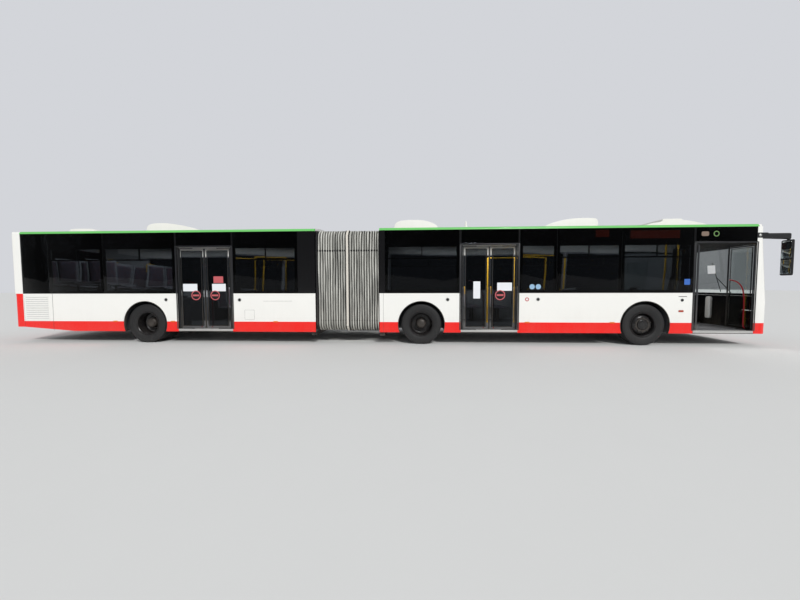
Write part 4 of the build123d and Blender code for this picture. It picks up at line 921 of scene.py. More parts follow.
def leafPieces(name, letter, body, half, place, out):
    x0, x1 = -half + doors["edge"], half
    low, high = doors["low"], doors["high"]
    thin = doors["thick"] / 2
    ring = addFrame(facingY(x0, x1, -thin, low, high), doors["frame"], (0, doors["thick"], 0), 0.0)
    for vert in ring.verts:  # the closing stile is the wider one
        if x1 - 0.09 < vert.co.x < x1 - 0.02 and low + 0.02 < vert.co.z < high - 0.02:
            vert.co.x -= doors["stile"]
    rounded(ring, [e for e in ring.edges if len(e.link_faces) == 2 and e.calc_face_angle(0) > 1.2],
            0.005)
    pins = [addRod((0, 0, z), (0, 0, z + 0.016), 0.009) for z in (low - 0.016, high)]
    title = f"{name}Leaf{letter.upper()}"
    piece = makePiece(f"{title}Frame", body, "doorFrame",
                      [placed(m, place) for m in [ring] + pins])
    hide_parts(f"{name}_door_leaf_{letter}")
    # rubber: bead round the pane, seal at the hinge side and lips at the closing edge
    bead = addFrame(facingY(x0 + 0.044, x1 - 0.064, out * (thin - 0.001), low + 0.044,
                            high - 0.044), 0.014, (0, -out * 0.008, 0), 0.02)
    seal = addBox((x0 + 0.001, -0.010, low + 0.004), (x0 + 0.014, 0.010, high - 0.004), 0.004)
    lips = addBox((x1 - 0.014, out * 0.006, low + 0.002), (x1 - 0.001, out * 0.0175, high - 0.002),
                  0.003)
    makePiece(f"{title}Seals", body, "rubber",
              [placed(m, place) for m in (bead, seal, lips)])
    pane = addPanel(facingY(x0 + 0.046, x1 - 0.046, out * (thin - 0.012), low + 0.046,
                            high - 0.046), (0, -out * 0.006, 0), 0.02)
    makePiece(f"{title}Glass", body, "clear" if name == "front" else "tint",
              [placed(pane, place)])
    # bent grab rail on the inner face
    face, inner = -out * (thin - 0.004), -out * 0.055
    middle = [(-0.200, 1.515), (-0.085, 1.500), (0.040, 1.455), (0.150, 1.330), (0.195, 1.150),
              (0.205, 0.950), (0.205, 0.650), (0.200, 0.410)]
    bend = [(-0.205, face, 1.515)] + [(x, inner, z) for x, z in middle] + [(0.198, face, 0.395)]
    makePiece(f"{title}Rail", body, "redRail", [placed(addTube(bend, 0.012), place)])


for name, first, last, share, section in doors["doorways"]:
    half = ((last - first) - 2 * doors["postInset"] - doors["gap"]) / 4
    for letter, station, closed, turn in (("a", first + doors["postInset"], 180.0, -1),
                                          ("b", last - doors["postInset"], 0.0, 1)):
        swing = turn * share * doors["swing"]
        arm = math.radians(closed + swing)
        where = Vector((at(station) + half * math.cos(arm),
                        -(bus["half"] - doors["inset"]) + half * math.sin(arm), 0))
        place = Matrix.Translation(where) @ Matrix.Rotation(math.radians(closed - swing), 4, "Z")
        leafPieces(name, letter, f"{name}_leaf_{letter}", half, place, -turn)

# doorway surrounds, sills and step edges, with a dark strip of painted shade under each sill
for section in sections:
    surroundsAndShade, sills = [], []
    for name, first, last, share, body in doors["doorways"]:
        if body != section:
            continue
        first += doors["cornerCover"] if name == "front" else 0.0
        for a, b in ((first, first + 0.010), (last - 0.010, last)):
            surroundsAndShade.append(addBar(a, b, -1.248, -1.240, 0.352, 2.338, 0.003))
        surroundsAndShade.append(addBar(first, last, -1.248, -1.242, 2.330, 2.340, 0.002))
        for a, b in ((first - 0.030, first - 0.002), (last + 0.002, last + 0.030)):
            surroundsAndShade.append(addBar(a, b, -1.2525, -1.249, 0.352, 2.360, 0.0015))
        surroundsAndShade.append(addBar(first - 0.005, last + 0.03, -1.2525, -1.249, 2.342, 2.366, 0.0015))
        # painted shade: a dark strip below the sill where the shadow under the body falls
        surroundsAndShade.append(addBar(first + 0.002, last - 0.002, -1.2530, -1.249, 0.2895, 0.304,
                                0.001))
        sills.append(addBar(first + 0.004, last - 0.004, -1.2545, -1.200, 0.304, 0.3545, 0.003))
        sills.append(addBar(first + 0.05, last - 0.05, -1.16, -1.125, 0.350, 0.354, 0.001, 1))
    makePiece(f"{section}DoorSurrounds", section, "surround", surroundsAndShade)
    makePiece(f"{section}DoorSills", section, "sill", sills)
makePiece("cornerCover", "front", "cover",
          [addBar(0.236, 0.246 + doors["cornerCover"], -1.2512, -1.2400, 0.2895, 2.6900, 0.0015)])
print("doors")

# roof units: domed covers set on the crowned roof; side outline, half width
roofFoot = 2.775
pods = {
    "front": [
        ([(0.950, 2.830), (1.080, 2.872), (1.420, 2.945), (1.550, 2.950), (1.560, 2.984),
          (1.620, 2.986), (1.960, 2.986), (2.010, 2.980), (2.020, 2.905), (2.250, 2.890),
          (2.390, 2.840)], 0.760),
        ([(3.530, 2.930), (3.560, 3.005), (3.680, 3.022), (4.050, 3.022), (4.350, 2.985),
          (4.700, 2.890), (4.780, 2.835)], 0.780),
        ([(7.380, 2.845), (7.480, 2.930), (7.640, 2.990), (7.820, 3.025), (8.180, 3.025),
          (8.400, 2.990), (8.470, 2.890)], 0.780)],
    "rear": [
        ([(13.460, 2.835), (13.640, 2.890), (13.960, 2.965), (14.300, 3.016), (14.620, 3.024),
          (14.820, 2.985), (14.880, 2.890)], 0.780),
        ([(16.400, 2.860), (16.460, 2.920), (16.700, 2.930), (17.100, 2.930), (17.170, 2.880)],
         0.620)],
}


def roofAt(y):
    radius = ((1.188 ** 2) + 0.096 ** 2) / (2 * 0.096)
    return 2.850 - (radius - math.sqrt(radius ** 2 - y ** 2))


def dome(side, half):
    # side outline swept across the roof, its rims rolled over
    mesh = addPanel([(at(x), -half, z) for x, z in side], (0, 2 * half, 0), 0.0)
    bmesh.ops.recalc_face_normals(mesh, faces=mesh.faces[:])
    rims = [e for e in mesh.edges if min(v.co.z for v in e.verts) > 2.80
            and abs(e.verts[0].co.y - e.verts[1].co.y) < 0.001]
    rounded(mesh, rims, 0.075, 6, clamp=True)
    return mesh


def swell(points, steps=4):
    # round the outline through its control points
    run = []
    for a, b, c in zip(points, points[1:], points[2:]):
        start = [(p + q) / 2 for p, q in zip(a, b)]
        end = [(p + q) / 2 for p, q in zip(b, c)]
        for t in (i / steps for i in range(steps)):
            run.append(tuple((1 - t) ** 2 * p + 2 * t * (1 - t) * q + t * t * r
                             for p, q, r in zip(start, b, end)))
    return [points[0]] + run + [points[-1]]


for section in sections:
    covers, flanges = [], []
    for side, half in pods[section]:
        first, last = side[0][0], side[-1][0]
        covers.append(dome(swell([(first, roofFoot)] + side + [(last, roofFoot)]), half))
        flanges.append(addBox((at(last) - 0.012, -half - 0.012, 2.760),
                              (at(first) + 0.012, half + 0.012, roofAt(half) + 0.012)))
    cover = makePiece(f"{section}RoofCovers", section, "unit", covers, 40)
    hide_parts(f"{section}_roof_units")
    makePiece(f"{section}RoofFlanges", section, "unit", flanges)
makePiece("roofAntenna", "front", "unit",
          [turned(alongZ, (at(6.670), -0.600, 0),
                  [(3.018, 0), (3.012, 0.012), (2.98, 0.020), (2.88, 0.030), (2.856, 0.060),
                   (roofAt(0.6) - 0.004, 0.064)])])
print("roof units")

# mirrors
mirrorParts, mirrorFaces, mirrorCaps = [], [], []
for side in sides:
    y = side * 1.190
    arm = addBar(0.258, -0.420, y - 0.034, y + 0.034, 2.430, 2.549, 0.030, 5)
    cut(arm, (at(-0.06), 0, 0), (1, 0, 0))
    for vert in arm.verts:  # the casing droops and swells towards the head
        if vert.co.z < 2.49 and vert.co.x > at(0.10):
            vert.co.z -= 0.022 if vert.co.x > at(-0.07) else 0.010
    head = addBar(-0.350, -0.419, y - 0.118, y + 0.118, 1.602, 2.398, 0.030, 5)
    for vert in head.verts:
        if vert.co.x > at(-0.385):
            vert.co.y = y + (vert.co.y - y) * 0.86
            vert.co.z = 2.0 + (vert.co.z - 2.0) * 0.95
    mirrorParts += [arm, head, addPost(-0.385, y, 2.36, 2.45, 0.026, 24, 0.004),
                    sidePanel(side, 0.120, 0.350, 2.440, 2.555, 1.2560, 0.020, 0.012, 0.004)]
    mirrorCaps.append(turned(alongY, (at(0.290), 0, 2.498),
                             [(1.2555, 0.029), (1.2600, 0.027), (1.2640, 0.020), (1.2650, 0)], 36,
                             side=side))
    for low, high in ((1.630, 1.955), (1.980, 2.365)):
        mirrorFaces.append(addPanel(facingX(at(-0.3485), y - 0.098, y + 0.098, low, high),
                                    (0.003, 0, 0), 0.03, 0.001))
makePiece("mirrorCaps", "front", "sill", mirrorCaps)
mirror = makePiece("mirrorHousings", "front", "plastic", mirrorParts, 45)
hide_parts("mirrors")
makePiece("mirrorFaces", "front", "mirror", mirrorFaces)
print("mirrors")

# side fittings, shut lines, markers: station and height, then runs as distance across, radius
fittings = {
    "rear": [(14.03, 1.065), (12.19, 1.060)], "front": [(7.19, 1.065), (5.11, 1.070)],
    "plain": (1.90, 1.050), "red": (5.36, 1.070),
}
roundRun = [(-1.2495, 0.034), (-1.2540, 0.033), (-1.2550, 0.029), (-1.2530, 0.024),
            (-1.2530, 0.008), (-1.2565, 0.006), (-1.2565, 0)]
collarRun = [(-1.2495, 0.046), (-1.2525, 0.045), (-1.2530, 0.041), (-1.2530, 0.030)]
redRun = [(-1.2495, 0.046), (-1.2535, 0.045), (-1.2535, 0.028), (-1.2510, 0.026)]


def fitted(spot, run, closed=False):
    return turned(alongY, (at(spot[0]), 0, spot[1]), run, 32, closed)


for section in sections:
    collared = fittings[section]
    plain = [fittings["plain"]] if section == "front" else []
    makePiece(f"{section}SideCollars", section, "sill",
              [fitted(spot, collarRun, True) for spot in collared])
    makePiece(f"{section}SideFittings", section, "plastic",
              [fitted(spot, roundRun) for spot in collared + plain])
makePiece("sideFlasher", "front", "amber",
          [sidePanel(side, 1.865, 1.975, 0.780, 0.822, 1.2600, 0.011, 0.014, 0.004)
           for side in sides])
makePiece("redFitting", "front", "disc", [fitted(fittings["red"], redRun, True)])
markers = {"rear": (15.34, 13.87, 11.31), "front": (5.35, 3.43)}
shutLines = {
    "rear": [(16.948, 16.955, 0.300, 1.212), (17.700, 17.704, 0.400, 1.190),
             (10.900, 11.600, 1.028, 1.0315)],
    "front": [(8.700, 8.704, 0.292, 1.215), (1.80, 1.98, 1.125, 1.138)],
}
for section in sections:
    makePiece(f"{section}SideMarkers", section, "orange",
              [sidePanel(side, s - 0.055, s + 0.055, 0.520, 0.548, 1.2565, 0.007, 0.010, 0.002)
               for s in markers[section] for side in sides])
    lines = [sidePanel(side, *run, 1.2506, 0.001, 0) for run in shutLines[section]
             for side in sides]
    if section == "rear":
        lines.append(sideFrame(-1, 11.83, 12.07, 0.585, 0.816, 1.2506, 0.003, 0.001, 0.008))
    makePiece(f"{section}ShutLines", section, "rubber", lines)

# louvred cover of the cooling bay: pale back, slanted blades, rim
louvre = {"first": 17.055, "last": 17.665, "low": 0.560, "high": 1.165, "count": 13}
first, last, low, high = (louvre[key] for key in ("first", "last", "low", "high"))
blades, backs = [], []
for side in sides:
    backs.append(sidePanel(side, first, last, low, high, 1.2512, 0.001, 0.01))
    for i in range(louvre["count"]):
        z = low + (high - low) / louvre["count"] * i
        blade = addSheet([(at(first + 0.012), side * d, z + h) for d, h in
                          ((1.2515, 0.004), (1.2600, 0.010), (1.2610, 0.014), (1.2515, 0.031))], 0)
        grow(blade, (at(last - 0.012) - at(first + 0.012), 0, 0))
        blades.append(blade)
    blades.append(sideFrame(side, first - 0.01, last + 0.01, low - 0.01, high + 0.01, 1.2545,
                            0.018, 0.004, 0.012))
makePiece("louvreBacks", "rear", "lining", backs)
makePiece("louvreBlades", "rear", "white", blades, 20)

# wheel arch lips
lipRun = [(1.204, 0.5535), (1.2520, 0.5535), (1.2540, 0.5500), (1.2530, 0.5430),
          (1.2460, 0.5415), (1.204, 0.5415)]
lipStart = math.radians(20.5)
for section, arches in (("front", ("front", "middle")), ("rear", ("rear",))):
    lips = []
    for x, side in ((at(axles[arch]), side) for arch in arches for side in sides):
        profile = [(x + r * math.cos(-lipStart), side * y, hubZ + r * math.sin(-lipStart))
                   for y, r in lipRun]
        arc = addSpun(profile, (x, 0, hubZ), (0, -1, 0), 60, True, math.pi + 2 * lipStart)
        bmesh.ops.holes_fill(arc, edges=[e for e in arc.edges if e.is_boundary], sides=8)
        lips.append(arc)
    makePiece(f"{section}ArchLips", section, "rubber", lips)

# belt seals under the panes, broken at the doors
for section, first, last in (("front", 0.25, 8.79), ("rear", 10.34, 17.715)):
    seals = []
    for side in sides:
        gaps = [(a, b) for n, a, b, s, body in doors["doorways"] if body == section and side < 0]
        start = first
        for a, b in gaps + [(last, last)]:
            if a - 0.03 > start + 0.05:
                y = side * 1.2515
                seals.append(addBar(start, a - (0.03 if a < last else 0), y - 0.0018, y + 0.0006,
                                    1.2165, 1.2225, 0.001, 1))
            start = b + 0.03
    makePiece(f"{section}BeltSeals", section, "rubber", seals)
print("side details")

# blank labels on the doors: two stations, two heights; rings with a bar: station, height
labels = {
    "middleA": {"label": (5.70, 6.04, 1.27, 1.46), "ring": (5.97, 1.17)},
    "middleB": {"label": (6.43, 6.59, 1.09, 1.49)},
    "rearA": {"label": (12.54, 12.88, 1.27, 1.45), "disc": (12.60, 12.84, 1.47, 1.63),
              "ring": (12.81, 1.17)},
    "rearB": {"label": (13.25, 13.61, 1.27, 1.45), "ring": (13.29, 1.17)},
}


def flatRing(x, y, z, outer, inner=0.0, thick=0.0007):
    # a sheet disc or ring that faces the side
    run = [(0, outer), (-thick, outer - 0.0005), (-thick, inner)]
    return turned(alongY, (x, y, z), run + ([(0, inner)] if inner else []), 48, bool(inner))


for key, rows in labels.items():
    body = f"{key[:-1]}_leaf_{key[-1].lower()}"
    sheets = {"label": [], "disc": [], "frit": []}
    for finish in ("label", "disc"):
        if finish in rows:
            sheets[finish].append(sidePanel(-1, *rows[finish], 1.2222, sheet, 0.01))
    if "ring" in rows:
        station, z = rows["ring"]
        sheets["disc"].append(flatRing(at(station), -1.2216, z, 0.117, 0.096))
        sheets["frit"].append(flatRing(at(station), -1.2216, z, 0.0955))
        sheets["disc"].append(sidePanel(-1, station - 0.078, station + 0.078, z - 0.020,
                                        z + 0.020, 1.2230, sheet, 0.004))
    for finish, meshes in sheets.items():
        if meshes:
            makePiece(f"{key}{finish.capitalize()}", body, finish, meshes)
stickers = {
    "paleStickers": ("paleBlue", [flatRing(at(s), -1.2504, 1.362, 0.060) for s in (5.11, 5.25)]),
    "blueSticker": ("blue", [sidePanel(-1, 1.745, 1.870, 1.40, 1.53, 1.2508, sheet, 0.01)]),
    "ringSticker": ("greenSheet", [flatRing(at(1.220), -1.2505, 2.540, 0.062, 0.046)]),
    "patchSticker": ("patch",
                     [sidePanel(-1, 1.380, 1.540, 2.490, 2.590, 1.2506, sheet, 0.030)]),
}
for name, (finish, meshes) in stickers.items():
    makePiece(name, "front", finish, meshes)
makePiece("sideDisplays", "front", "display",
          [sidePanel(-1, *run, 1.2457, 0.0008, 0.004)
           for run in ((2.00, 3.08, 2.45, 2.63), (3.55, 3.85, 2.49, 2.65))])
print("labels")

# seats: station, place across, width, floor height, way they face
low, podium = bus["lowFloor"], bus["podium"]
seatRows = {
    "front": [(4.010, 0.930, 0.480, low, 1)]
    + [(s, 0.760, 0.860, low, 1) for s in (4.760, 5.510, 6.260)]
    + [(s, -0.760, 0.860, low, 1) for s in (3.980, 4.730)],
    "rear": [(s, y, 0.860, low, way) for y, s, way in (
        (0.760, 11.090, -1), (0.760, 11.960, 1), (0.760, 12.830, 1), (0.760, 13.560, 1),
        (-0.760, 11.090, -1), (-0.760, 11.960, 1))]
    + [(s, y, 0.860, podium, 1) for y in (0.760, -0.760) for s in (15.900, 16.660)]
    + [(17.400, 0.000, 2.300, podium, 1)],
}
foam = {"voxel": 0.0148, "pressure": 4.0, "cap": 0.012}


def settle(holder):
    # keep what the modifiers give as the piece's own mesh
    graph = bpy.context.evaluated_depsgraph_get()
    data = bpy.data.meshes.new_from_object(holder.evaluated_get(graph))
    old = holder.data
    holder.modifiers.clear()
    holder.data = data
    bpy.data.meshes.remove(old)


def puffed(part, name):
    # foam pad: remeshed evenly, blown up a little as cloth, capped
    data = bpy.data.meshes.new(name)
    part.to_mesh(data)
    part.free()
    pad = bpy.data.objects.new(name, data)
    scene.collection.objects.link(pad)
    grid = pad.modifiers.new("grid", "REMESH")
    grid.mode = "VOXEL"
    grid.voxel_size = foam["voxel"]
    settle(pad)
    before = [v.co.copy() for v in pad.data.vertices]
    cloth = pad.modifiers.new("cloth", "CLOTH")
    cloth.settings.use_pressure = True
    cloth.settings.uniform_pressure_force = foam["pressure"]
    cloth.settings.effector_weights.gravity = 0
    for step in range(1, 21):
        scene.frame_set(step)
    settle(pad)
    for vert, start in zip(pad.data.vertices, before):
        move = vert.co - start
        if move.length > foam["cap"]:
            vert.co = start + move.normalized() * foam["cap"]
    scene.frame_set(1)
    mesh = bmesh.new()
    mesh.from_mesh(pad.data)
    old = pad.data
    bpy.data.objects.remove(pad)
    bpy.data.meshes.remove(old)
    smoothed(mesh, 0.4)
    return mesh


# pads in a seat's own frame: X forward, the floor at zero
cushionPad = puffed(addBox((-0.180, -0.185, 0.395), (0.205, 0.185, 0.432), 0.018, 3), "cushionPad")
backPad = puffed(addBox((-0.020, -0.180, -0.27), (0.018, 0.180, 0.27), 0.016, 3), "backPad")
placed(backPad, Matrix.Translation((-0.212, 0, 0.700)) @ Matrix.Rotation(math.radians(-5), 4, "Y"))


def seatShell():
    # one moulded sheet: lip, seat, bend and back
    mesh = bmesh.new()
    side = [(0.215, 0.370), (0.210, 0.398), (0.180, 0.400), (-0.120, 0.388), (-0.190, 0.398),
            (-0.216, 0.440), (-0.236, 0.700), (-0.258, 0.965), (-0.262, 1.000)]
    strip = [mesh.verts.new((x, -0.208, z)) for x, z in side]
    edges = [mesh.edges.new(pair) for pair in zip(strip, strip[1:])]
    for i in range(4):
        verts, edges = grow(mesh, (0, 0.104, 0), edges)
    for vert in mesh.verts:  # sides curl up round the pads
        curl = max(0.0, abs(vert.co.y) - 0.15) / 0.058
        vert.co.x += 0.018 * curl * (1 if vert.co.z > 0.45 else 0)
        vert.co.z += 0.016 * curl * (1 if vert.co.z < 0.45 else 0)
    bmesh.ops.recalc_face_normals(mesh, faces=mesh.faces[:])
    bmesh.ops.solidify(mesh, geom=mesh.faces[:], thickness=0.010)
    return mesh


shellMesh = seatShell()
for section in sections:
    pads, shells, metal, grips = [], [], [], []
    for station, across, width, floor, facing in seatRows[section]:
        count, spot, single = round(width / 0.44), at(station), width < 0.5
        bench = count > 4
        for i in range(count):
            y = across + (i - (count - 1) / 2) * (width / count)
            place = Matrix.Translation((spot, y, floor)) @ Matrix.Diagonal((facing, 1, 1, 1))
            pads += [placed(pad.copy(), place) for pad in (cushionPad, backPad)]
            shells.append(placed(shellMesh.copy(), place))
        foot = 0.9 if bench else 0.17
        for y in (across,) if single else (across - foot, across + foot):
            metal.append(addTube([(spot, y, floor + z) for z in (0.002, 0.20, 0.375)], 0.022))
            metal.append(addBox((spot - 0.06, y - 0.04, floor), (spot + 0.06, y + 0.04,
                                                                 floor + 0.010), 0.003))
        if not bench:
            aisle = across - math.copysign(width / 2 - 0.03, across)
            x = spot - facing * 0.262
            run = [(0, 0, 0.80), (0.012, 0, 0.95), (0.005, 0, 1.006), (0.003, 0.12, 1.008),
                   (0, 0.24, 0.97)]
            grips.append(addTube([(x - facing * back, aisle + math.copysign(reach, across),
                                   floor + z) for back, reach, z in run], 0.012))
    cushions = makePiece(f"{section}SeatPads", section, "seat", pads, 60)
    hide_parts(f"{section}_seats")
    makePiece(f"{section}SeatShells", section, "shell", shells)
    makePiece(f"{section}SeatLegs", section, "plastic", metal)
    makePiece(f"{section}SeatGrips", section, "yellow", grips)
for mesh in (cushionPad, backPad, shellMesh):
    mesh.free()
print("seats")

# stanchions, rails and straps: station, place across
stanchions = {
    "front": [(3.65, 0.43), (4.40, 0.29), (5.15, 0.29), (5.90, 0.29), (4.40, -0.29),
              (5.15, -0.29)],
    "rear": [(11.52, 0.29), (12.40, 0.29), (13.20, 0.29), (11.52, -0.29), (12.30, -0.29)],
}
railRadius, railTop = 0.0165, 2.164
for section in sections:
    bars, straps = [], []
    for station, y in stanchions[section]:
        bars += [addPost(station, y, bus["lowFloor"], railTop + 0.006, railRadius, 20, 0.002),
                 addPost(station, y, bus["lowFloor"], 0.362, 0.034, 20, 0.003),
                 addPost(station, y, 0.90, 0.93, 0.020, 20, 0.003)]
    for y in sorted({row[1] for row in stanchions[section]}):
        line = [s for s, other in stanchions[section] if other == y]
        if len(line) < 2:
            continue
        last, first = max(line), min(line)
        bars.append(addTube([(at(s), y, railTop) for s in (last, sum(line) / len(line), first)],
                            railRadius))
        for i in range(5):
            x = at(last) + (last - first) * (i + 0.5) / 5
            loop = [(0, 2.148), (0, 2.06), (-0.045, 1.985), (0, 1.955), (0.045, 1.985), (0, 2.06)]
            straps.append(addTube([(x + dx, y, z) for dx, z in loop], 0.007, True))
    railing = makePiece(f"{section}Stanchions", section, "yellow", bars)
    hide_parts(f"{section}_rails")
    makePiece(f"{section}Straps", section, "plastic", straps)
print("rails")

# driver's place: stations, places across, heights, rounding and its steps
dashBoxes = [(0.36, 0.62, 0.18, 1.14, 0.352, 0.86, 0.03, 3),
             (0.34, 0.66, 0.20, 1.13, 0.83, 0.985, 0.055, 5),
             (0.40, 0.58, 0.42, 0.90, 0.96, 1.075, 0.045, 5),
             (0.78, 1.10, 0.140, 0.30, 0.70, 1.17, 0.02, 3),
             (0.72, 1.655, 0.155, 0.178, 0.352, 1.02, 0.008),
             (1.662, 1.690, 0.155, 1.188, 0.352, 1.32, 0.010)]
parts = [addBar(*row) for row in dashBoxes]
for i in range(5):
    parts.append(addBox((at(0.605) - 0.012, 0.47 + i * 0.07, 1.010),
                        (at(0.58) + 0.002, 0.51 + i * 0.07, 1.050), 0.008))
dash = makePiece("driverDash", "front", "plastic", parts)
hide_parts("driver_cab")
tilt = Matrix.Translation((at(0.83), 0.65, 1.13)) @ Matrix.Rotation(math.radians(-25), 4, "Y")
ringLoop = [(0.212 * math.cos(a * math.pi / 8), 0.212 * math.sin(a * math.pi / 8), 0)
            for a in range(16)]
wheelParts = [addTube(ringLoop, 0.0125, True)]
for a in (0.5, 3.3, 4.5):
    wheelParts.append(addTube([(r * math.cos(a), r * math.sin(a), z) for r, z in
                               ((0, -0.03), (0.1, -0.012), (0.208, 0))], 0.009))
wheelParts.append(turned(alongZ, (0, 0, 0), [(-0.008, 0), (-0.010, 0.045), (-0.028, 0.060),
                                             (-0.050, 0.050), (-0.056, 0.024), (-0.20, 0.022)]))
makePiece("steeringWheel", "front", "plastic",
          [placed(m, tilt) for m in wheelParts])
x = at(1.28)
driverPads = [addBox((x - 0.21, 0.43, 0.70), (x + 0.22, 0.87, 0.825), 0.045, 5),
              addBox((x - 0.295, 0.43, 0.80), (x - 0.205, 0.87, 1.36), 0.04, 5),
              addBox((x - 0.285, 0.54, 1.345), (x - 0.215, 0.76, 1.495), 0.03, 5)]
for pad in driverPads:
    bmesh.ops.subdivide_edges(pad, edges=pad.edges[:], cuts=1, use_grid_fill=True)
    smoothed(pad, 0.5)
driverSeat = makePiece("driverSeatPads", "front", "seat", driverPads, 60)
makePiece("driverSeatBase", "front", "plastic",
          [addBox((x - 0.20, 0.45, 0.60), (x + 0.20, 0.85, 0.70), 0.02, 3),
           addBox((x - 0.13, 0.54, 0.352), (x + 0.13, 0.76, 0.60), 0.02, 3)])
makePiece("cabScreens", "front", "clear",
          [addPanel(facingX(at(1.676), 0.17, 1.18, 1.325, 2.045), (0.006, 0, 0)),
           addPanel(facingY(at(1.64), at(0.80), 0.166, 1.02, 1.38), (0, 0.006, 0))])
makePiece("cabPillars", "front", "plastic",
          [addBar(0.345, 0.470, 1.085, 1.185, 1.225, 2.430, 0.022, 4)])
makePiece("frontBin", "front", "sill",
          [turned(alongZ, (at(0.44), -0.30, 0), [(0.560, 0), (0.560, 0.055), (0.590, 0.062),
                                                 (1.050, 0.062), (1.095, 0.050), (1.108, 0)], 40)])
makePiece("screenLabel", "front", "label",
          [bowed(-0.05, 0.16, 1.69, 1.91, noseX, -0.0090, 0.0005, 0.01, 3)])
makePiece("boardingPole", "front", "yellow",
          [addPost(s, y, 0.352, 2.62, railRadius) for s, y in ((1.10, 0.10), (1.72, -0.42))])
print("driver's place")

# linings: ceiling panels, light strips, side trunking
for section, first, last in (("front", 0.42, 8.68), ("rear", 10.46, 17.60)):
    lining = [sidePanel(1, first, last, 2.35, 2.69, 1.199, 0.012, 0.0),
              addBar(first, last, -0.62, 0.62, 2.640, 2.655)]
    lining += [addBar(first, last, side * 0.98 - 0.21, side * 0.98 + 0.21, 2.60, 2.70, 0.035, 4)
               for side in sides]
    makePiece(f"{section}Lining", section, "lining", lining)
    starts = [first + 0.3 + i * 1.25 for i in range(int((last - first) / 1.25))]
    makePiece(f"{section}LightStrips", section, "whiteLens",
              [addBar(a, a + 1.1, side * 0.72 - 0.035, side * 0.72 + 0.035, 2.628, 2.644, 0.006)
               for a in starts for side in sides])
noseFloor = [(0.330, -1.150), (0.110, -1.120), (0.080, -0.600), (0.075, 0.600), (0.110, 1.120),
             (0.330, 1.150)]
makePiece("noseFloor", "front", "floor",
          [addPanel([(at(s), y, 0.340) for s, y in noseFloor], (0, 0, 0.009), 0.01)])
print("linings")


# nose: lamps, display, wipers, grille, bare plate
def onNose(rows):
    return [bowed(*row[:4], noseX, *row[4:]) for row in rows]


noseBowls, noseCovers, noseBacks = [], [], []
for side in sides:
    a, b = sorted((side * 0.735, side * 1.115))
    noseCovers.append((a, b, 0.605, 0.795, -0.0005, 0.004, 0.045))
    a, b = sorted((side * 0.738, side * 1.112))
    noseBacks.append((a, b, 0.608, 0.792, -0.120, 0.004, 0.03))
    for y in (side * 0.800, side * 0.960):
        run = [(0, 1), (-0.010, 0.96), (-0.060, 0.66), (-0.085, 0.22), (-0.060, 0.10), (-0.056, 0)]
        noseBowls.append(turned(alongX, (noseX(y, 0.700) - 0.012, y, 0.700),
                                [(x, 0.075 * share) for x, share in run], 40))
    x, y = noseX(side * 1.07, 0.7), side * 1.075
    noseBowls.append(addBox((x - 0.08, y - 0.03, 0.635), (x - 0.05, y + 0.03, 0.765), 0.015, 3))
lampPiece = makePiece("headlampCovers", "front", "clear", onNose(noseCovers))
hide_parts("front_lamps")
makePiece("headlampBowls", "front", "chrome", noseBowls)
makePiece("headlampBacks", "front", "plastic", onNose(noseBacks))
# grille field, then the border round the windscreen with its number of cuts
glassEdge = [(-1.163, -1.085, 1.132, 2.608, 5), (1.085, 1.163, 1.132, 2.608, 5),
             (-1.085, 1.085, 1.132, 1.190, 9), (-1.085, 1.085, 2.290, 2.608, 9)]
black = [(-0.60, 0.60, 0.600, 0.790, 0.0012, 0.003)]
black += [(*row[:4], -0.0085, 0.001, 0, row[4]) for row in glassEdge]
black += [(-0.58, 0.58, z, z + 0.012, 0.006, 0.006, 0.004, 7)
          for z in (0.625 + i * 0.034 for i in range(5))]
makePiece("noseBlack", "front", "frit", onNose(black))
makePiece("noseDisplay", "front", "dimDisplay",
          onNose([(-0.82, 0.82, 2.330, 2.570, -0.0080, 0.001, 0.01, 9)]))
noseSeams = [(-1.13, 1.13, 0.560, 0.564, 9), (-1.13, 1.13, 0.830, 0.834, 9),
             (-0.640, -0.636, 0.292, 0.560, 3), (0.636, 0.640, 0.292, 0.560, 3)]
makePiece("noseLines", "front", "rubber",
          onNose([(*row[:4], 0.0006, 0.001, 0, row[4]) for row in noseSeams]))
makePiece("noseFogLamps", "front", "whiteLens",
          [turned(alongX, (noseX(y, 0.42), y, 0.42), [(0.001, 0.04), (0.006, 0.034), (0.010, 0)])
           for y in (-0.85, 0.85)])
makePiece("barePlates", "front", "label",
          onNose([(-0.26, 0.26, 0.400, 0.510, 0.010, 0.003, 0.01, 7, 0.001)]))
wipers = []
for side, reach in ((-1, -0.10), (1, 0.92)):
    y, z, end = side * 0.50, 1.085, reach + side * -0.05
    foot = noseX(y, z)
    wipers.append(addTube([(foot + 0.014, y, z), (noseX(y, 1.25) + 0.036, (y + end) / 2, 1.32),
                           (noseX(reach, 1.75) + 0.020, end, 1.60)], 0.009))
    wipers.append(addTube([(noseX(end, 1.25) + 0.012, end + side * 0.10, 1.22),
                           (noseX(end, 1.6) + 0.012, end, 1.60),
                           (noseX(end, 1.98) + 0.012, end - side * 0.10, 1.98)], 0.008))
    wipers.append(addRod((foot - 0.01, y, z), (foot + 0.026, y, z), 0.022, 20, 0.004))
makePiece("wipers", "front", "plastic", wipers)
print("nose")

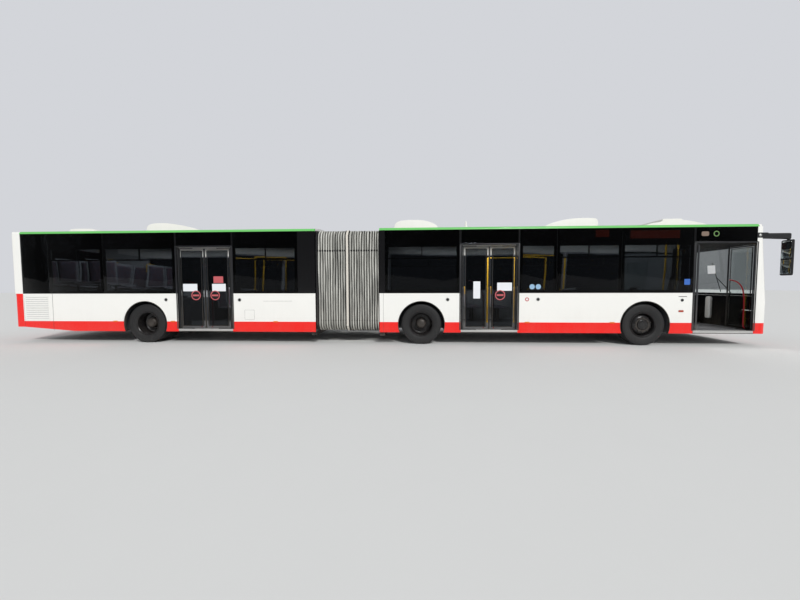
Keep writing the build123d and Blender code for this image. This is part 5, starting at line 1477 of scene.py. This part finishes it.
# tail: lamps, lid grille, seams, bare plate
lamps = {"redLens": [], "orange": [], "whiteLens": []}
lampBack = []
for side in sides:
    a, b = sorted((side * 0.886, side * 1.094))
    lampBack.append(bowed(a, b, 0.766, 1.174, tailX, -0.012, 0.012, 0.02, 5))
    for z, size, finish in ((1.120, 0.046, "redLens"), (1.015, 0.046, "orange"),
                            (0.910, 0.046, "redLens"), (0.820, 0.036, "whiteLens")):
        run = [(0, size), (-0.014, size * 0.97), (-0.020, size * 0.72), (-0.023, 0)]
        y = side * 0.99
        lamps[finish].append(turned(alongX, (tailX(y, z) + 0.010, y, z), run, 40))
rearLamps = makePiece("tailLampRed", "rear", "redLens", lamps["redLens"])
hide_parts("rear_lamps")
makePiece("tailLampAmber", "rear", "orange", lamps["orange"])
makePiece("tailLampClear", "rear", "whiteLens", lamps["whiteLens"])
makePiece("tailLampPods", "rear", "plastic", lampBack)
slots = [bowed(-0.52, 0.52, z, z + 0.012, tailX, 0.0020, 0.0030, 0.004, 7)
         for z in (0.720 + i * 0.030 for i in range(9))]
slots.append(bowed(-0.07, 0.07, 0.640, 0.664, tailX, 0.0080, 0.0100, 0.008, 3))
makePiece("lidSlots", "engine_flap", "plastic", slots)
makePiece("tailPlate", "engine_flap", "label",
          [bowed(-0.26, 0.26, 1.060, 1.170, tailX, 0.0040, 0.0035, 0.01, 7, 0.001)])
makePiece("tailBlack", "rear", "frit",
          [bowed(-1.06, 1.06, 1.440, 2.480, tailX, 0.0015, 0.0012, 0.08),
           bowed(-0.50, 0.50, 2.500, 2.640, tailX, 0.0015, 0.0012, 0.01, 7)])
makePiece("tailLines", "rear", "rubber",
          [bowed(-1.15, 1.15, 0.552, 0.556, tailX, 0.0008, 0.001, 0.0, 9)])
print("tail")

# stage, light, camera
stage = {
    "floor": srgb(214, 214, 211), "size": 90.0, "sunTilt": (52, 0, 24), "sunPower": 2.05,
    "sunSoft": 12.0, "fill": 0.66, "mirrored": 0.16, "shown": 0.70, "inside": 20.0,
}
mesh = bmesh.new()
bmesh.ops.create_grid(mesh, x_segments=1, y_segments=1, size=stage["size"])
data = bpy.data.meshes.new("stageFloor")
mesh.to_mesh(data)
mesh.free()
floorPiece = bpy.data.objects.new("stageFloor", data)
scene.collection.objects.link(floorPiece)
data.materials.append(shader("stagePaint", stage["floor"], 0.9, grain=40, bump=0.0, tone=0.01))

world = bpy.data.worlds.new("studio")
scene.world = world
world.use_nodes = True
tree = world.node_tree
backdrop = tree.nodes["Background"]
rays = tree.nodes.new("ShaderNodeLightPath")
seen = mathNode(tree, "MAXIMUM", rays.outputs["Is Camera Ray"],
                rays.outputs["Is Transmission Ray"])
level = rangeNode(tree, seen, 0.0, 1.0, stage["fill"], stage["shown"])
dim = mathNode(tree, "MULTIPLY", rays.outputs["Is Glossy Ray"], stage["fill"] - stage["mirrored"])
backdrop.inputs["Color"].default_value = (0.93, 0.95, 1.0, 1)
tree.links.new(mathNode(tree, "SUBTRACT", level, dim), backdrop.inputs["Strength"])

sun = bpy.data.lights.new("keyLight", "SUN")
sun.energy = stage["sunPower"]
sun.angle = math.radians(stage["sunSoft"])
sunHolder = bpy.data.objects.new("keyLight", sun)
sunHolder.rotation_euler = [math.radians(a) for a in stage["sunTilt"]]
scene.collection.objects.link(sunHolder)

for name, middle, long in (("frontGlow", 4.55, 7.6), ("rearGlow", 14.05, 6.4)):
    glow = bpy.data.lights.new(name, "AREA")
    glow.shape = "RECTANGLE"
    glow.size, glow.size_y = long, 1.6
    glow.energy = stage["inside"] * long
    holder = bpy.data.objects.new(name, glow)
    holder.location = (at(middle), 0, 2.58)
    holder.visible_camera = holder.visible_transmission = holder.visible_glossy = False
    scene.collection.objects.link(holder)

view = {"spot": (0.788, -8.426, 1.396), "turn": (87.294, 0.14, 2.515), "lens": 13.707}
camera = bpy.data.cameras.new("photoCamera")
camera.sensor_width = 36.0
camera.sensor_fit = "HORIZONTAL"
camera.lens = view["lens"]
camera.clip_end = 300.0
cameraHolder = bpy.data.objects.new("photoCamera", camera)
cameraHolder.location = view["spot"]
cameraHolder.rotation_euler = [math.radians(a) for a in view["turn"]]
scene.collection.objects.link(cameraHolder)
scene.camera = cameraHolder
scene.view_settings.view_transform = "Standard"
print("stage")
